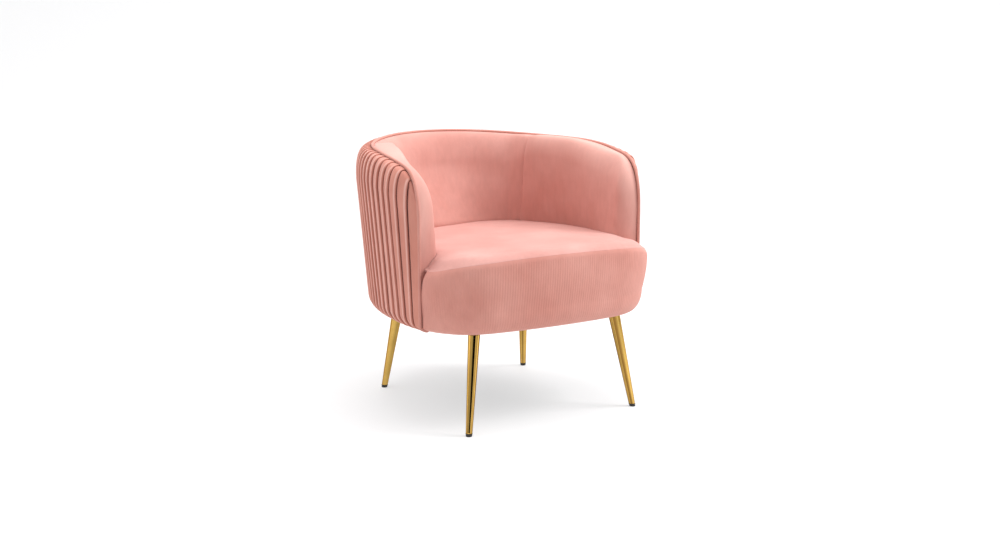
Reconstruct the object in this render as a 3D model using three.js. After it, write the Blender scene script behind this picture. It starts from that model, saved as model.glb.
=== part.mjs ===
// Upholstered tub armchair on four splayed metal legs.
// Millimetres, +Z up. The sitter faces -Y; the origin is on the floor under the middle of the chair.
import * as THREE from 'three';

// ---- Driving dimensions -------------------------------------------------------------------------

// Rim line: the piping cord's centre, which runs up one arm front, round the back and down the other.
const RIM_HALF_WIDTH = 331;
const RIM_BACK_REACH = 420; // half ellipse, from the arms' straight part to the middle of the back
const RIM_CENTRE_Y = -93;
const ARM_FRONT_Y = -221;
const RIM_TOP_Z = 692;
const RIM_FALL = 2.0e-4; // the rim falls by this times the squared distance from the back
const RIM_WAVE = 6; // the rim dips this much behind the arms and rises as much over them
const CORNER_RUN = 80; // rounded top corner of each arm front
const CORNER_DROP = 150;
const CORNER_POWER = 3;
const CORD_RADIUS = 4;
const CORD_SIDES = 8;
const CORD_GAP = 4.6; // from the cord's centre to the covers' edges
const CORD_END_TURN = 2.75; // the cord ends this far round the outer section's underside
const CORD_BEND = 25; // its upright run stops this far below the rounded corner

// Outer cover: its bulge beyond the rim line, then a taper to the rounded underside.
const SHOULDER_OUT = 42;
const SHOULDER_DROP = 64;
const SHOULDER_POWER = 0.62;
const TAPER_START_Z = 600;
const TAPER_END_Z = 290;
const TAPER_END_OUT = 15.5;
const FRONT_FADE = 90; // the bulge fades out over this length at each arm front
const UNDERSIDE_Z = 245;
const UNDERSIDE_TURN = 55;
const UNDERSIDE_FRONT_RISE = 5; // the underside rises this much towards each arm front
const COVER_THICK = 4;
const COVER_EDGE_DROP = 1.5; // the cover meets the cord this far below the cord's centre

// Inside pads: their depth from the rim line towards the sitter.
const PAD_DEPTH = 57.6;
const PAD_EDGE_DROP = 4; // the pad starts this far below the wall's top, beside the cord
const PAD_CROWN_END = 0.4; // share of the crown from the cord to its highest line
// The crown at four places: how far in its highest line is, the pad's depth below the crown, the
// crown's rise above its edge and its fall to the inner face.
const CROWN_FRONT = { out: 22, depth: PAD_DEPTH, rise: 6, fall: 60 };
const CROWN_NECK = { out: 14, depth: 42, rise: 6, fall: 60 };
const CROWN_ARM = { out: 46, depth: 67, rise: 12, fall: 45 };
const CROWN_BACK = { out: 12, depth: 44, rise: 6, fall: 50 };
const NECK_AT = 60; // the arm is slimmest this far behind its front
const NECK_LENGTH = 50;
const ARM_BROAD = [100, 260]; // it broadens between these distances
const ARM_ENDS = [380, 480]; // and turns into the back between these
const PAD_SEAT_DEPTH_BACK = 68; // extra depth at seat height in the middle of the back
const PAD_SEAT_DEPTH_SPAN = 220; // half width of that extra depth
const PAD_SEAT_DEPTH_POWER = 1.3;
const PAD_EDGE = 4.4;
const PAD_EDGE_FRONT = 3.6;
const PAD_EDGE_FRONT_RUN = 10;
const NOSE_LENGTH = 28; // the arm front is a rounded nose of this length
const SEAT_JOIN_Z = 440;
const PAD_BOTTOM_Z = 335;
const LINER_THICK = 3;
const FOAM_EDGE = 0.03; // and this far along the section from its edge
const FOAM_START = 3; // foam begins this far behind the arm fronts
const CORE_DROP = 40; // foam reaches the frame from this far below the wall's top
const CORE_TOP = { out: -4.9, drop: 14 }; // where the foam's back starts, below the cord
const CORE_FRONT_OUT = -5.5; // the foam's back in front of the frame
const CORE_STEP_AT = 20; // it steps inwards to the frame's face here
const CORE_STEP_RUN = 4;
const PANEL_SEAM_STOP = 6; // the inside back meets the inside arms at this station of the arc
const SLIP = 0.4; // gap between pieces that touch

// Seat.
const FRONT_HALF_WIDTH = 327;
const FRONT_SIDE_Y = -226;
const FRONT_MIDDLE_Y = -369;
const FRONT_BOW = 36;
const FRONT_FLAT = 182; // half length of the bowed front between the round corners
const SEAM_MIDDLE_Z = 438;
const SEAM_SIDE_FALL = 16; // the seam falls this much to the sides
const SEAM_END_FALL = 18; // and this much more round the corners
const SEAM_END_POWER = 8;
const SEAT_BACK_Z = 432; // where the seat meets the arms and back
const SEAT_CROWN_Z = 452;
const BAND_TURN_Z = 307;
const BAND_BOTTOM_Z = 249;
const BAND_BULGE = 2;
const BAND_TAPER = 12;
const BAND_TAPER_END = 2; // at the band's two ends, beside the piping
const BAND_END_RUN = 60;
const BAND_TURN = 34;
const STEP_Y = -227.5; // the seat's wings end here, in front of the arms
const STEP_X = 267;
const SEAT_BOTTOM_Z = 333.4;
const SEAT_BELLY_Z = 383.4; // the foam is full width from here up
const SEAT_HEART = new THREE.Vector2(0, -231);
const SEAT_CROWN_POWER = 2.5;
const SEAT_EDGE_INSET = 0.3;
const SEAT_PAD_GAP = 1; // clearance between the seat and the inside pads
const SEAT_FOAM_SLACK = 1.6;

// Timber frame.
const BASE_BOTTOM_Z = 256;
const BASE_THICK = 18;
const BASE_INSET = 22;
const BASE_FRONT_INSET = 38;
const FRAME_Z = BASE_BOTTOM_Z + BASE_THICK + SLIP;
const FRAME_TOP_Z = 331;
const RAIL_BACK = -30; // top rail and posts lie between these two offsets from the rim line
const RAIL_FACE = -8;
const TOP_RAIL_DROP = 42;
const TOP_RAIL_HEIGHT = 38;
const POST_WIDTH = 40;
const POST_THICK = 19;
const POST_GAP = 2; // under the sloping top rail
const BOARD_BACK = -7.5;
const BOARD_FACE = -3.5;
const WADDING_BACK = -3.2;
const FRAME_START = 30; // frame parts start this far behind the arm fronts
const ARM_REAR_POST = 130; // distances of the posts along the rim: behind the arms' straight part
const BACK_POST = 150; // and to each side of the middle of the back
const WADDING_DROP = 16; // the outer wadding's back starts this far below the wall's top
const WADDING_SLOPE = 8;
const FRONT_RAIL_THICK = 18;
const FRONT_RAIL_INSET = BASE_FRONT_INSET - 5.1;
const SEAT_RAIL_THICK = 20;
const SIDE_RAIL_X = 252;
const SIDE_RAIL_Y = -45;
const SIDE_RAIL_LENGTH = 310;
const REAR_RAIL_Y = 130;
const REAR_RAIL_LENGTH = 360;
const STRAP_WIDTH = 50;
const STRAP_THICK = 1.7;
const STRAPS_FROM_Y = -170;
const STRAPS_TO_Y = 90;
const STRAP_COUNT = 5;

// Legs.
const LEG_TOP_RADIUS = 15;
const LEG_FOOT_RADIUS = 8;
const LEG_WALL = 1.5;
const LEG_TOP_Z = 246;
const CAP_HEIGHT = 7;
const CAP_BEVEL = 0.8;
const CAP_SPIGOT_TOP = 24;
const SPLAY_HEIGHT = 240;
const LEGS = [
  { name: 'front_left', foot: [-250, -316], splay: [37, 37] },
  { name: 'front_right', foot: [250, -316], splay: [-37, 37] },
  { name: 'rear_left', foot: [-229, 190], splay: [28, -41] },
  { name: 'rear_right', foot: [229, 190], splay: [-28, -41] },
];
const STUD_RADIUS = 4;
const STUD_HOLE_RADIUS = 7;
const STUD_ABOVE_BASE = 8;
const STUD_DISC_TOP = LEG_TOP_Z - 1;
const STUD_DISC_THICK = 5;
const STUD_SIDES = 12;
const PLATE_RADIUS = 26;
const PLATE_THICK = 3;
const DUST_COVER_Z = 246.4;
const DUST_COVER_THICK = 1;
const DUST_COVER_INSET = 42;
const DUST_COVER_FRONT_INSET = 62;

// ---- Materials ----------------------------------------------------------------------------------

const finish = (color, roughness, metalness = 0) => () =>
  new THREE.MeshStandardMaterial({ color, roughness, metalness });
const velvet = finish('#d98f84', 0.85);
const foam = finish('#efe6c4', 0.95);
const wadding = finish('#f4f4f0', 0.98);
const timber = finish('#c49a6c', 0.7);
const board = finish('#a98458', 0.8);
const webbing = finish('#3c3a38', 0.9);
const gold = finish('#d9a441', 0.18, 1);
const steel = finish('#8f9296', 0.35, 1);
const blackPlastic = finish('#141414', 0.5);
const nonWoven = finish('#1d1d1f', 0.95);

const chair = new THREE.Group();

function add(name, geometry, material, position = [0, 0, 0]) {
  const mesh = new THREE.Mesh(geometry, material());
  mesh.name = name;
  mesh.position.set(...position);
  chair.add(mesh);
  return mesh;
}

// ---- Geometry helpers ---------------------------------------------------------------------------

function closedGeometry(points, triangles) {
  const geometry = new THREE.BufferGeometry();
  const numbers = points.flatMap((p) => [p.x, p.y, p.z]);
  geometry.setAttribute('position', new THREE.Float32BufferAttribute(numbers, 3));
  const a = new THREE.Vector3();
  const volume = triangles.reduce(
    (sum, [i, j, k]) => sum + points[i].dot(a.crossVectors(points[j], points[k])), 0);
  const index = volume < 0 ? triangles.map(([i, j, k]) => [i, k, j]) : triangles;
  geometry.setIndex(index.flat());
  geometry.computeVertexNormals();
  return geometry;
}

// A sheet with thickness: face(u, v) and back(u, v) give its two sides, us and vs its grid lines.
function sheet(face, back, us, vs) {
  const points = [];
  const grid = [face, back].map((side) => us.map((u) => vs.map((v) => points.push(side(u, v)) - 1)));
  const triangles = [];
  const quad = (a, b, c, d) => triangles.push([a, b, c], [a, c, d]);
  for (let i = 0; i + 1 < us.length; i += 1) {
    for (let j = 0; j + 1 < vs.length; j += 1) {
      const [f, b] = grid;
      quad(f[i][j], f[i + 1][j], f[i + 1][j + 1], f[i][j + 1]);
      quad(b[i][j], b[i][j + 1], b[i + 1][j + 1], b[i + 1][j]);
    }
  }
  const edge = [
    ...us.map((_, i) => [i, 0]),
    ...vs.slice(1).map((_, j) => [us.length - 1, j + 1]),
    ...us.slice(1).map((_, i) => [us.length - 2 - i, vs.length - 1]),
    ...vs.slice(1, -1).map((_, j) => [0, vs.length - 2 - j]),
  ];
  edge.forEach(([i, j], n) => {
    const [k, l] = edge[(n + 1) % edge.length];
    quad(grid[0][i][j], grid[1][i][j], grid[1][k][l], grid[0][k][l]);
  });
  return closedGeometry(points, triangles);
}

// A solid made of rings of equal size, one above the other; looped rings make a tube.
function stack(rings, looped = false) {
  const count = rings[0].length;
  const points = rings.flat();
  const triangles = [];
  const last = looped ? rings.length : rings.length - 1;
  for (let r = 0; r < last; r += 1) {
    const low = r * count;
    const high = ((r + 1) % rings.length) * count;
    for (let i = 0; i < count; i += 1) {
      const j = (i + 1) % count;
      triangles.push([low + i, low + j, high + j], [low + i, high + j, high + i]);
    }
  }
  if (!looped) {
    for (const [ring, turned] of [[0, true], [rings.length - 1, false]]) {
      const centre = new THREE.Vector3();
      rings[ring].forEach((p) => centre.addScaledVector(p, 1 / count));
      const hub = points.push(centre) - 1;
      for (let i = 0; i < count; i += 1) {
        const a = ring * count + i;
        const b = ring * count + ((i + 1) % count);
        triangles.push(turned ? [hub, b, a] : [hub, a, b]);
      }
    }
  }
  return closedGeometry(points, triangles);
}

function steps(from, to, count) {
  return Array.from({ length: count + 1 }, (_, i) => from + ((to - from) * i) / count);
}
const clamp = THREE.MathUtils.clamp;
const lerp = THREE.MathUtils.lerp;

// A point on a section, moved by depth to the left of the way the section runs.
function shifted(section, v, depth) {
  const [o, z] = section(v);
  const [ahead, behind] = [section(v + 1e-3), section(v - 1e-3)];
  const run = [ahead[0] - behind[0], ahead[1] - behind[1]];
  const length = Math.hypot(...run) || 1;
  return [o - (run[1] / length) * depth, z + (run[0] / length) * depth];
}

// ---- The back and arms: sections at stations along the rim line ----------------------------------

const STRAIGHT = RIM_CENTRE_Y - ARM_FRONT_Y;
const rimArc = new THREE.EllipseCurve(0, RIM_CENTRE_Y, RIM_HALF_WIDTH, RIM_BACK_REACH, Math.PI, 0, true);
const RIM_LENGTH = 2 * STRAIGHT + rimArc.getLength();

// Place on the rim line at distance s from the left arm's front, with its outward direction.
function station(s) {
  const front = Math.min(s, RIM_LENGTH - s); // distance behind the nearer arm front
  if (front <= STRAIGHT) {
    const side = s < RIM_LENGTH / 2 ? -1 : 1;
    return { front, x: side * RIM_HALF_WIDTH, y: ARM_FRONT_Y + front, nx: side, ny: 0 };
  }
  const share = (s - STRAIGHT) / rimArc.getLength();
  const p = rimArc.getPointAt(share);
  const t = rimArc.getTangentAt(share);
  return { front, x: p.x, y: p.y, nx: -t.y, ny: t.x };
}

function at(place, [out, z]) {
  return new THREE.Vector3(place.x + place.nx * out, place.y + place.ny * out, z);
}

function rimHeight(place, front) {
  const q = clamp((CORNER_RUN - front) / CORNER_RUN, 0, 1) ** CORNER_POWER;
  const corner = CORNER_DROP * (1 - (1 - q) ** (1 / CORNER_POWER));
  const behind = RIM_CENTRE_Y + RIM_BACK_REACH - place.y;
  const wave = RIM_WAVE * Math.sin((2 * Math.PI * behind) / (RIM_BACK_REACH + STRAIGHT));
  return RIM_TOP_Z - RIM_FALL * behind ** 2 - wave - corner;
}

const wallFront = (place) => Math.max(0, place.front - CORD_GAP);
const wallTop = (place) => rimHeight(place, wallFront(place)) - CORD_GAP;

// Outer cover: v 0 to 1 over the shoulder, to 2 down the side, to 3 round under.
function outerSection(place, v) {
  const fade = Math.sin((Math.PI / 2) * clamp(wallFront(place) / FRONT_FADE, 0, 1));
  const shoulderZ = wallTop(place) - SHOULDER_DROP;
  const top = wallTop(place) + fade * (CORD_GAP - COVER_EDGE_DROP);
  const turn = (clamp(v - 2, 0, 1) * Math.PI) / 2;
  const over = (clamp(v, 0, 1) * Math.PI) / 2;
  let z = lerp(shoulderZ, TAPER_END_Z, clamp(v - 1, 0, 1));
  let out = SHOULDER_OUT;
  if (z < TAPER_START_Z) {
    out = lerp(SHOULDER_OUT, TAPER_END_OUT, (TAPER_START_Z - z) / (TAPER_START_Z - TAPER_END_Z));
  }
  if (v < 1) {
    out = lerp(CORD_GAP, out, Math.sin(over) ** SHOULDER_POWER);
    z = top - (top - shoulderZ) * (1 - Math.cos(over));
  }
  if (v > 2) {
    const underZ = UNDERSIDE_Z + UNDERSIDE_FRONT_RISE * (1 - fade);
    out = TAPER_END_OUT - UNDERSIDE_TURN * (1 - Math.cos(turn));
    z = TAPER_END_Z - (TAPER_END_Z - underZ) * Math.sin(turn);
  }
  return [SLIP + Math.max(out, 0) * fade + Math.min(out, 0), z];
}

// The crown's shape at a place: arm front, slim neck, broad arm, then the back.
function crownAt(place) {
  const front = wallFront(place);
  const neck = Math.exp(-(((front - NECK_AT) / NECK_LENGTH) ** 2));
  const arm = THREE.MathUtils.smoothstep(front, ...ARM_BROAD);
  const back = THREE.MathUtils.smoothstep(front, ...ARM_ENDS);
  const blend = (key) => {
    const slim = lerp(CROWN_FRONT[key], CROWN_NECK[key], neck);
    return lerp(lerp(slim, CROWN_ARM[key], arm), CROWN_BACK[key], back);
  };
  return { out: blend('out'), depth: blend('depth'), rise: blend('rise'), fall: blend('fall') };
}

// Inside pad: v 0 to 1 over the crown, to 2 down to the seat and below it.
function padSection(place, v) {
  const front = wallFront(place);
  const top = wallTop(place);
  const crown = crownAt(place);
  const nose = Math.sqrt(1 - (1 - clamp(front / NOSE_LENGTH, 0, 1)) ** 2);
  const edge = PAD_EDGE + PAD_EDGE_FRONT * clamp(1 - front / PAD_EDGE_FRONT_RUN, 0, 1);
  const spread = place.y > 0 ? Math.max(0, 1 - (place.x / PAD_SEAT_DEPTH_SPAN) ** 2) : 0;
  const crownZ = top + (crown.rise - PAD_EDGE_DROP) * nose;
  const faceZ = top - crown.fall;
  let out;
  let z;
  if (v < PAD_CROWN_END) {
    const a = (Math.max(v, 0) / PAD_CROWN_END) * (Math.PI / 2);
    out = crown.out * (1 - Math.cos(a));
    z = crownZ - crown.rise * nose * (1 - Math.sin(a));
  } else if (v < 1) {
    const a = ((v - PAD_CROWN_END) / (1 - PAD_CROWN_END)) * (Math.PI / 2);
    out = lerp(crown.out, crown.depth, Math.sin(a));
    z = crownZ - (crownZ - faceZ) * (1 - Math.cos(a));
  } else {
    z = lerp(faceZ, PAD_BOTTOM_Z, clamp(v - 1, 0, 1));
    const low = clamp((faceZ - z) / (faceZ - SEAT_JOIN_Z), 0, 1);
    out = lerp(crown.depth, PAD_DEPTH, low) + PAD_SEAT_DEPTH_BACK * spread * low ** PAD_SEAT_DEPTH_POWER;
  }
  return [-edge - out * nose, z];
}

// Where foam ends and the frame begins: v as in padSection.
function coreSection(place, v) {
  const top = wallTop(place);
  const step = clamp((wallFront(place) - CORE_STEP_AT) / CORE_STEP_RUN, 0, 1);
  const back = lerp(CORE_FRONT_OUT, RAIL_BACK - 1, step);
  const lowZ = top - CORE_DROP - SLIP;
  if (v < 1) {
    return [lerp(CORE_TOP.out, back, v), lerp(top - CORE_TOP.drop, lowZ, v)];
  }
  return [back, lerp(lowZ, PAD_BOTTOM_Z, clamp(v - 1, 0, 1))];
}

const leftStops = [0, 1.5, 5, 12, 24, 40, 60, 90].map((d) => d + CORD_GAP);
const ARC_STEPS = 24;
const arcStops = steps(STRAIGHT, RIM_LENGTH - STRAIGHT, ARC_STEPS);
const rightStops = leftStops.map((s) => RIM_LENGTH - s).reverse();
const wallStops = [...leftStops, ...arcStops, ...rightStops];
const between = (from, to) => wallStops.filter((s) => s >= from - 1e-6 && s <= to + 1e-6);

const outerLines = [0, 0.12, 0.35, 0.65, 1, 1.5, 2, 2.33, 2.66, 3];
add('outer_back_cover', sheet(
  (s, v) => at(station(s), outerSection(station(s), v)),
  (s, v) => at(station(s), shifted((w) => outerSection(station(s), w), v, -COVER_THICK)),
  wallStops, outerLines), velvet);

const waddingStops = between(leftStops[4], RIM_LENGTH - leftStops[4]);
add('outer_wadding', sheet(
  (s, v) => at(station(s), shifted((w) => outerSection(station(s), w), v, -COVER_THICK - SLIP)),
  (s, v) => {
    const face = shifted((w) => outerSection(station(s), w), v, -COVER_THICK - SLIP);
    const backZ = wallTop(station(s)) - WADDING_DROP - WADDING_SLOPE * v;
    return at(station(s), [WADDING_BACK, Math.min(face[1], backZ)]);
  },
  waddingStops, [0.35, 0.65, 1, 1.5, 2]), wadding);

// Inside panels meet at a seam on each side of the back.
const seamLeft = arcStops[PANEL_SEAM_STOP];
const panels = [
  { name: 'arm_left', from: 0, to: seamLeft, cut: [0, -SLIP] },
  { name: 'back', from: seamLeft, to: RIM_LENGTH - seamLeft, cut: [SLIP, -SLIP] },
  { name: 'arm_right', from: RIM_LENGTH - seamLeft, to: RIM_LENGTH, cut: [SLIP, 0] },
];
const padLines = [0, 0.2, 0.4, 0.6, 0.8, 1, 1.33, 1.66, 2];
for (const { name, from, to, cut } of panels) {
  const stops = between(from, to);
  stops[0] += cut[0];
  stops[stops.length - 1] += cut[1];
  add(`inside_${name}_cover`, sheet(
    (s, v) => at(station(s), padSection(station(s), v)),
    (s, v) => at(station(s), shifted((w) => padSection(station(s), w), v, LINER_THICK)),
    stops, padLines), velvet);
  const foamStops = stops.filter((s) => wallFront(station(s)) > FOAM_START);
  add(`${name}_foam`, sheet(
    (s, v) => {
      const edge = Math.max(v, FOAM_EDGE);
      return at(station(s), shifted((w) => padSection(station(s), w), edge, LINER_THICK + SLIP));
    },
    (s, v) => at(station(s), coreSection(station(s), v)),
    foamStops, padLines), foam);
}

// Piping cord: up one arm front, along the rim and down the other.
const cordPath = [];
const cordPoint = (s) => at(station(s), [0, rimHeight(station(s), station(s).front)]);
const cordStops = [0, 0.4, 2, 6, 13, 24, 40, 62, 90];
const cordStart = cordPoint(0);
// Below the taper's end the cord follows the outer cover's edge inwards, under the chair.
const curl = steps(CORD_END_TURN, 2, 4).map((v) => {
  const [out, z] = outerSection(station(0), v);
  return new THREE.Vector3(cordStart.x - out, cordStart.y, z);
});
const uprightStops = steps(TAPER_END_Z, cordStart.z - CORD_BEND, 4).slice(1);
const uprights = [...curl, ...uprightStops.map((z) => new THREE.Vector3(cordStart.x, cordStart.y, z))];
const cordLeft = cordStops.map(cordPoint);
const mirrored = (p) => new THREE.Vector3(-p.x, p.y, p.z);
cordPath.push(...uprights, ...cordLeft, ...arcStops.map(cordPoint));
cordPath.push(...cordLeft.map(mirrored).reverse(), ...uprights.map(mirrored).reverse());
const cordRound = new THREE.Path().absarc(0, 0, CORD_RADIUS, 0, 2 * Math.PI);
const cordSection = new THREE.Shape(cordRound.getPoints(CORD_SIDES / 2).slice(0, CORD_SIDES));
add('rim_piping', new THREE.ExtrudeGeometry(cordSection, {
  steps: 64,
  extrudePath: new THREE.CatmullRomCurve3(cordPath, false, 'centripetal'),
}), velvet);

// ---- The timber back frame -----------------------------------------------------------------------

const frameStops = between(FRAME_START, RIM_LENGTH - FRAME_START);
const railTop = (s) => wallTop(station(s)) - TOP_RAIL_DROP;
const railBottom = (s) => railTop(s) - TOP_RAIL_HEIGHT;
add('back_top_rail', sheet(
  (s, v) => at(station(s), [RAIL_FACE, lerp(railBottom(s), railTop(s), v)]),
  (s, v) => at(station(s), [RAIL_BACK, lerp(railBottom(s), railTop(s), v)]),
  frameStops, [0, 1]), timber);
add('outer_back_board', sheet(
  (s, v) => at(station(s), [BOARD_FACE, lerp(FRAME_Z, railTop(s), v)]),
  (s, v) => at(station(s), [BOARD_BACK, lerp(FRAME_Z, railTop(s), v)]),
  frameStops, [0, 1]), board);

const posts = [
  ['arm_front_post', FRAME_START + CORD_GAP + POST_WIDTH / 2 + POST_GAP],
  ['arm_rear_post', STRAIGHT + ARM_REAR_POST],
  ['back_post', RIM_LENGTH / 2 - BACK_POST],
];
for (const [name, distance] of posts) {
  for (const side of ['left', 'right']) {
    const s = side === 'left' ? distance : RIM_LENGTH - distance;
    const place = station(s);
    const ends = [s - POST_WIDTH / 2, s + POST_WIDTH / 2];
    const height = Math.min(...ends.map(railBottom)) - POST_GAP - FRAME_Z;
    const middle = at(place, [RAIL_BACK + 1 + POST_THICK / 2, FRAME_Z + height / 2]);
    const post = add(`${name}_${side}`, new THREE.BoxGeometry(POST_THICK, POST_WIDTH, height), timber);
    post.position.copy(middle);
    post.rotation.z = Math.atan2(place.ny, place.nx);
  }
}

// ---- The seat ------------------------------------------------------------------------------------

const bowY = (x) => FRONT_MIDDLE_Y + FRONT_BOW * (x / FRONT_HALF_WIDTH) ** 2;
const bowSlope = (2 * FRONT_BOW * FRONT_FLAT) / FRONT_HALF_WIDTH ** 2;
const CORNER_HANDLE = 0.5523; // of a quarter round drawn as one curve
const cornerX = FRONT_HALF_WIDTH - FRONT_FLAT;
const cornerY = FRONT_SIDE_Y - bowY(FRONT_FLAT);
const v2 = (x, y) => new THREE.Vector2(x, y);
const frontLine = new THREE.CurvePath();
frontLine.add(new THREE.CubicBezierCurve(
  v2(-FRONT_HALF_WIDTH, FRONT_SIDE_Y),
  v2(-FRONT_HALF_WIDTH, FRONT_SIDE_Y - CORNER_HANDLE * cornerY),
  v2(-FRONT_FLAT - CORNER_HANDLE * cornerX, bowY(FRONT_FLAT) + bowSlope * CORNER_HANDLE * cornerX),
  v2(-FRONT_FLAT, bowY(FRONT_FLAT))));
frontLine.add(new THREE.QuadraticBezierCurve(
  v2(-FRONT_FLAT, bowY(FRONT_FLAT)),
  v2(0, bowY(FRONT_FLAT) - bowSlope * FRONT_FLAT),
  v2(FRONT_FLAT, bowY(FRONT_FLAT))));
frontLine.add(new THREE.CubicBezierCurve(
  v2(FRONT_FLAT, bowY(FRONT_FLAT)),
  v2(FRONT_FLAT + CORNER_HANDLE * cornerX, bowY(FRONT_FLAT) + bowSlope * CORNER_HANDLE * cornerX),
  v2(FRONT_HALF_WIDTH, FRONT_SIDE_Y - CORNER_HANDLE * cornerY),
  v2(FRONT_HALF_WIDTH, FRONT_SIDE_Y)));

// Place on the seat's front line, u 0 to 1 from left to right.
function frontPlace(u) {
  const p = frontLine.getPoint(u);
  const ahead = frontLine.getPoint(Math.min(1, u + 1e-4));
  const behind = frontLine.getPoint(Math.max(0, u - 1e-4));
  const run = ahead.sub(behind).normalize();
  return { x: p.x, y: p.y, nx: run.y, ny: -run.x };
}
function seamZ(x) {
  const share = clamp(Math.abs(x) / FRONT_HALF_WIDTH, 0, 1);
  return SEAM_MIDDLE_Z - SEAM_SIDE_FALL * share ** 2 - SEAM_END_FALL * share ** SEAM_END_POWER;
}

// Front band: v 0 to 1 from the seam down, to 2 round under; at its ends it turns under with the piping.
function bandSection(place, v) {
  const nearEnd = clamp((place.y - FRONT_SIDE_Y) / BAND_END_RUN + 1, 0, 1);
  const taper = lerp(BAND_TAPER, BAND_TAPER_END, nearEnd);
  const turnZ = lerp(BAND_TURN_Z, TAPER_END_Z, nearEnd);
  const top = seamZ(place.x) - LINER_THICK - SLIP;
  const turn = (clamp(v - 1, 0, 1) * Math.PI) / 2;
  if (v <= 1) {
    const w = Math.max(v, 0);
    return [BAND_BULGE * Math.sin(Math.PI * w) - taper * w ** 1.5, lerp(top, turnZ, v)];
  }
  const curl = 1 - Math.cos(turn);
  const under = lerp(BAND_TURN * curl, Math.max(0, UNDERSIDE_TURN * curl - TAPER_END_OUT), nearEnd);
  return [-taper - under, turnZ - (turnZ - BAND_BOTTOM_Z) * Math.sin(turn)];
}

const frontStops = steps(0, 1, 26);
add('front_band_cover', sheet(
  (u, v) => at(frontPlace(u), bandSection(frontPlace(u), v)),
  (u, v) => at(frontPlace(u), shifted((w) => bandSection(frontPlace(u), w), v, -LINER_THICK)),
  frontStops, [0, 0.25, 0.5, 0.75, 1, 1.25, 1.5, 1.75, 2]), velvet);

const innerFrontStops = frontStops.slice(2, -2);
add('front_wadding', sheet(
  (u, v) => at(frontPlace(u), shifted((w) => bandSection(frontPlace(u), w), v, -LINER_THICK - 2 * SLIP)),
  (u, v) => at(frontPlace(u), [SLIP - FRONT_RAIL_INSET, bandSection(frontPlace(u), v)[1] + SLIP]),
  innerFrontStops, [0.82, 1, 1.25]), wadding);
add('seat_front_rail', sheet(
  (u, v) => at(frontPlace(u), [-FRONT_RAIL_INSET, lerp(FRAME_Z, FRAME_TOP_Z, v)]),
  (u, v) => at(frontPlace(u), [-FRONT_RAIL_INSET - FRONT_RAIL_THICK, lerp(FRAME_Z, FRAME_TOP_Z, v)]),
  innerFrontStops, [0, 1]), timber);

// Seat outline: the front line, a step in front of each arm, then round inside the pads.
function seatOutline(frontInset) {
  const outline = frontStops.map((u) => at(frontPlace(u), [-frontInset, 0]));
  const inside = between(NOSE_LENGTH + CORD_GAP, RIM_LENGTH - NOSE_LENGTH - CORD_GAP).reverse();
  const stepPoint = (side, x) => new THREE.Vector3(side * x, STEP_Y, 0);
  outline[0].y = STEP_Y;
  outline[outline.length - 1].y = STEP_Y;
  outline.push(stepPoint(1, STEP_X));
  inside.forEach((s) => {
    const place = station(s);
    outline.push(at(place, [padSection(place, 1.999)[0] - SEAT_PAD_GAP, 0]));
  });
  outline.push(stepPoint(-1, STEP_X));
  return outline;
}

function seatRing(outline, scale, drop) {
  return outline.map((p) => {
    const x = lerp(SEAT_HEART.x, p.x, scale);
    const y = lerp(SEAT_HEART.y, p.y, scale);
    const edge = p.y < STEP_Y + 1 ? seamZ(p.x) : SEAT_BACK_Z;
    return new THREE.Vector3(x, y, lerp(SEAT_CROWN_Z, edge, scale ** SEAT_CROWN_POWER) - drop);
  });
}
const flatRing = (outline, z) => outline.map((p) => new THREE.Vector3(p.x, p.y, z));

const ringScales = [0.02, 0.35, 0.65, 0.86, 1];
const coverOutline = seatOutline(SEAT_EDGE_INSET);
add('seat_top_cover', stack([
  ...ringScales.map((k) => seatRing(coverOutline, k, LINER_THICK)),
  ...ringScales.map((k) => seatRing(coverOutline, k, 0)).reverse(),
]), velvet);

const foamOutline = seatOutline(LINER_THICK + SEAT_FOAM_SLACK + SLIP);
add('seat_foam', stack([
  flatRing(seatOutline(BAND_TAPER), SEAT_BOTTOM_Z),
  flatRing(seatOutline(2 * LINER_THICK), SEAT_BELLY_Z),
  ...ringScales.map((k) => seatRing(foamOutline, k, LINER_THICK + SLIP + SEAT_FOAM_SLACK)).reverse(),
]), foam);

const railHeight = FRAME_TOP_Z - FRAME_Z;
const railMiddleZ = FRAME_Z + railHeight / 2;
for (const [side, sign] of [['left', -1], ['right', 1]]) {
  const rail = new THREE.BoxGeometry(SEAT_RAIL_THICK, SIDE_RAIL_LENGTH, railHeight);
  add(`seat_side_rail_${side}`, rail, timber, [sign * SIDE_RAIL_X, SIDE_RAIL_Y, railMiddleZ]);
}
add('seat_rear_rail', new THREE.BoxGeometry(REAR_RAIL_LENGTH, SEAT_RAIL_THICK, railHeight), timber,
  [0, REAR_RAIL_Y, railMiddleZ]);

const strapLength = 2 * SIDE_RAIL_X + SEAT_RAIL_THICK;
steps(STRAPS_FROM_Y, STRAPS_TO_Y, STRAP_COUNT - 1).forEach((y, i) => {
  add(`seat_webbing_${i + 1}`, new THREE.BoxGeometry(strapLength, STRAP_WIDTH, STRAP_THICK), webbing,
    [0, y, FRAME_TOP_Z + SLIP + STRAP_THICK / 2]);
});

// ---- Base panel and dust cover -------------------------------------------------------------------

const axisAt = (leg, z) => [0, 1].map((i) => leg.foot[i] + (leg.splay[i] * z) / SPLAY_HEIGHT);

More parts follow.
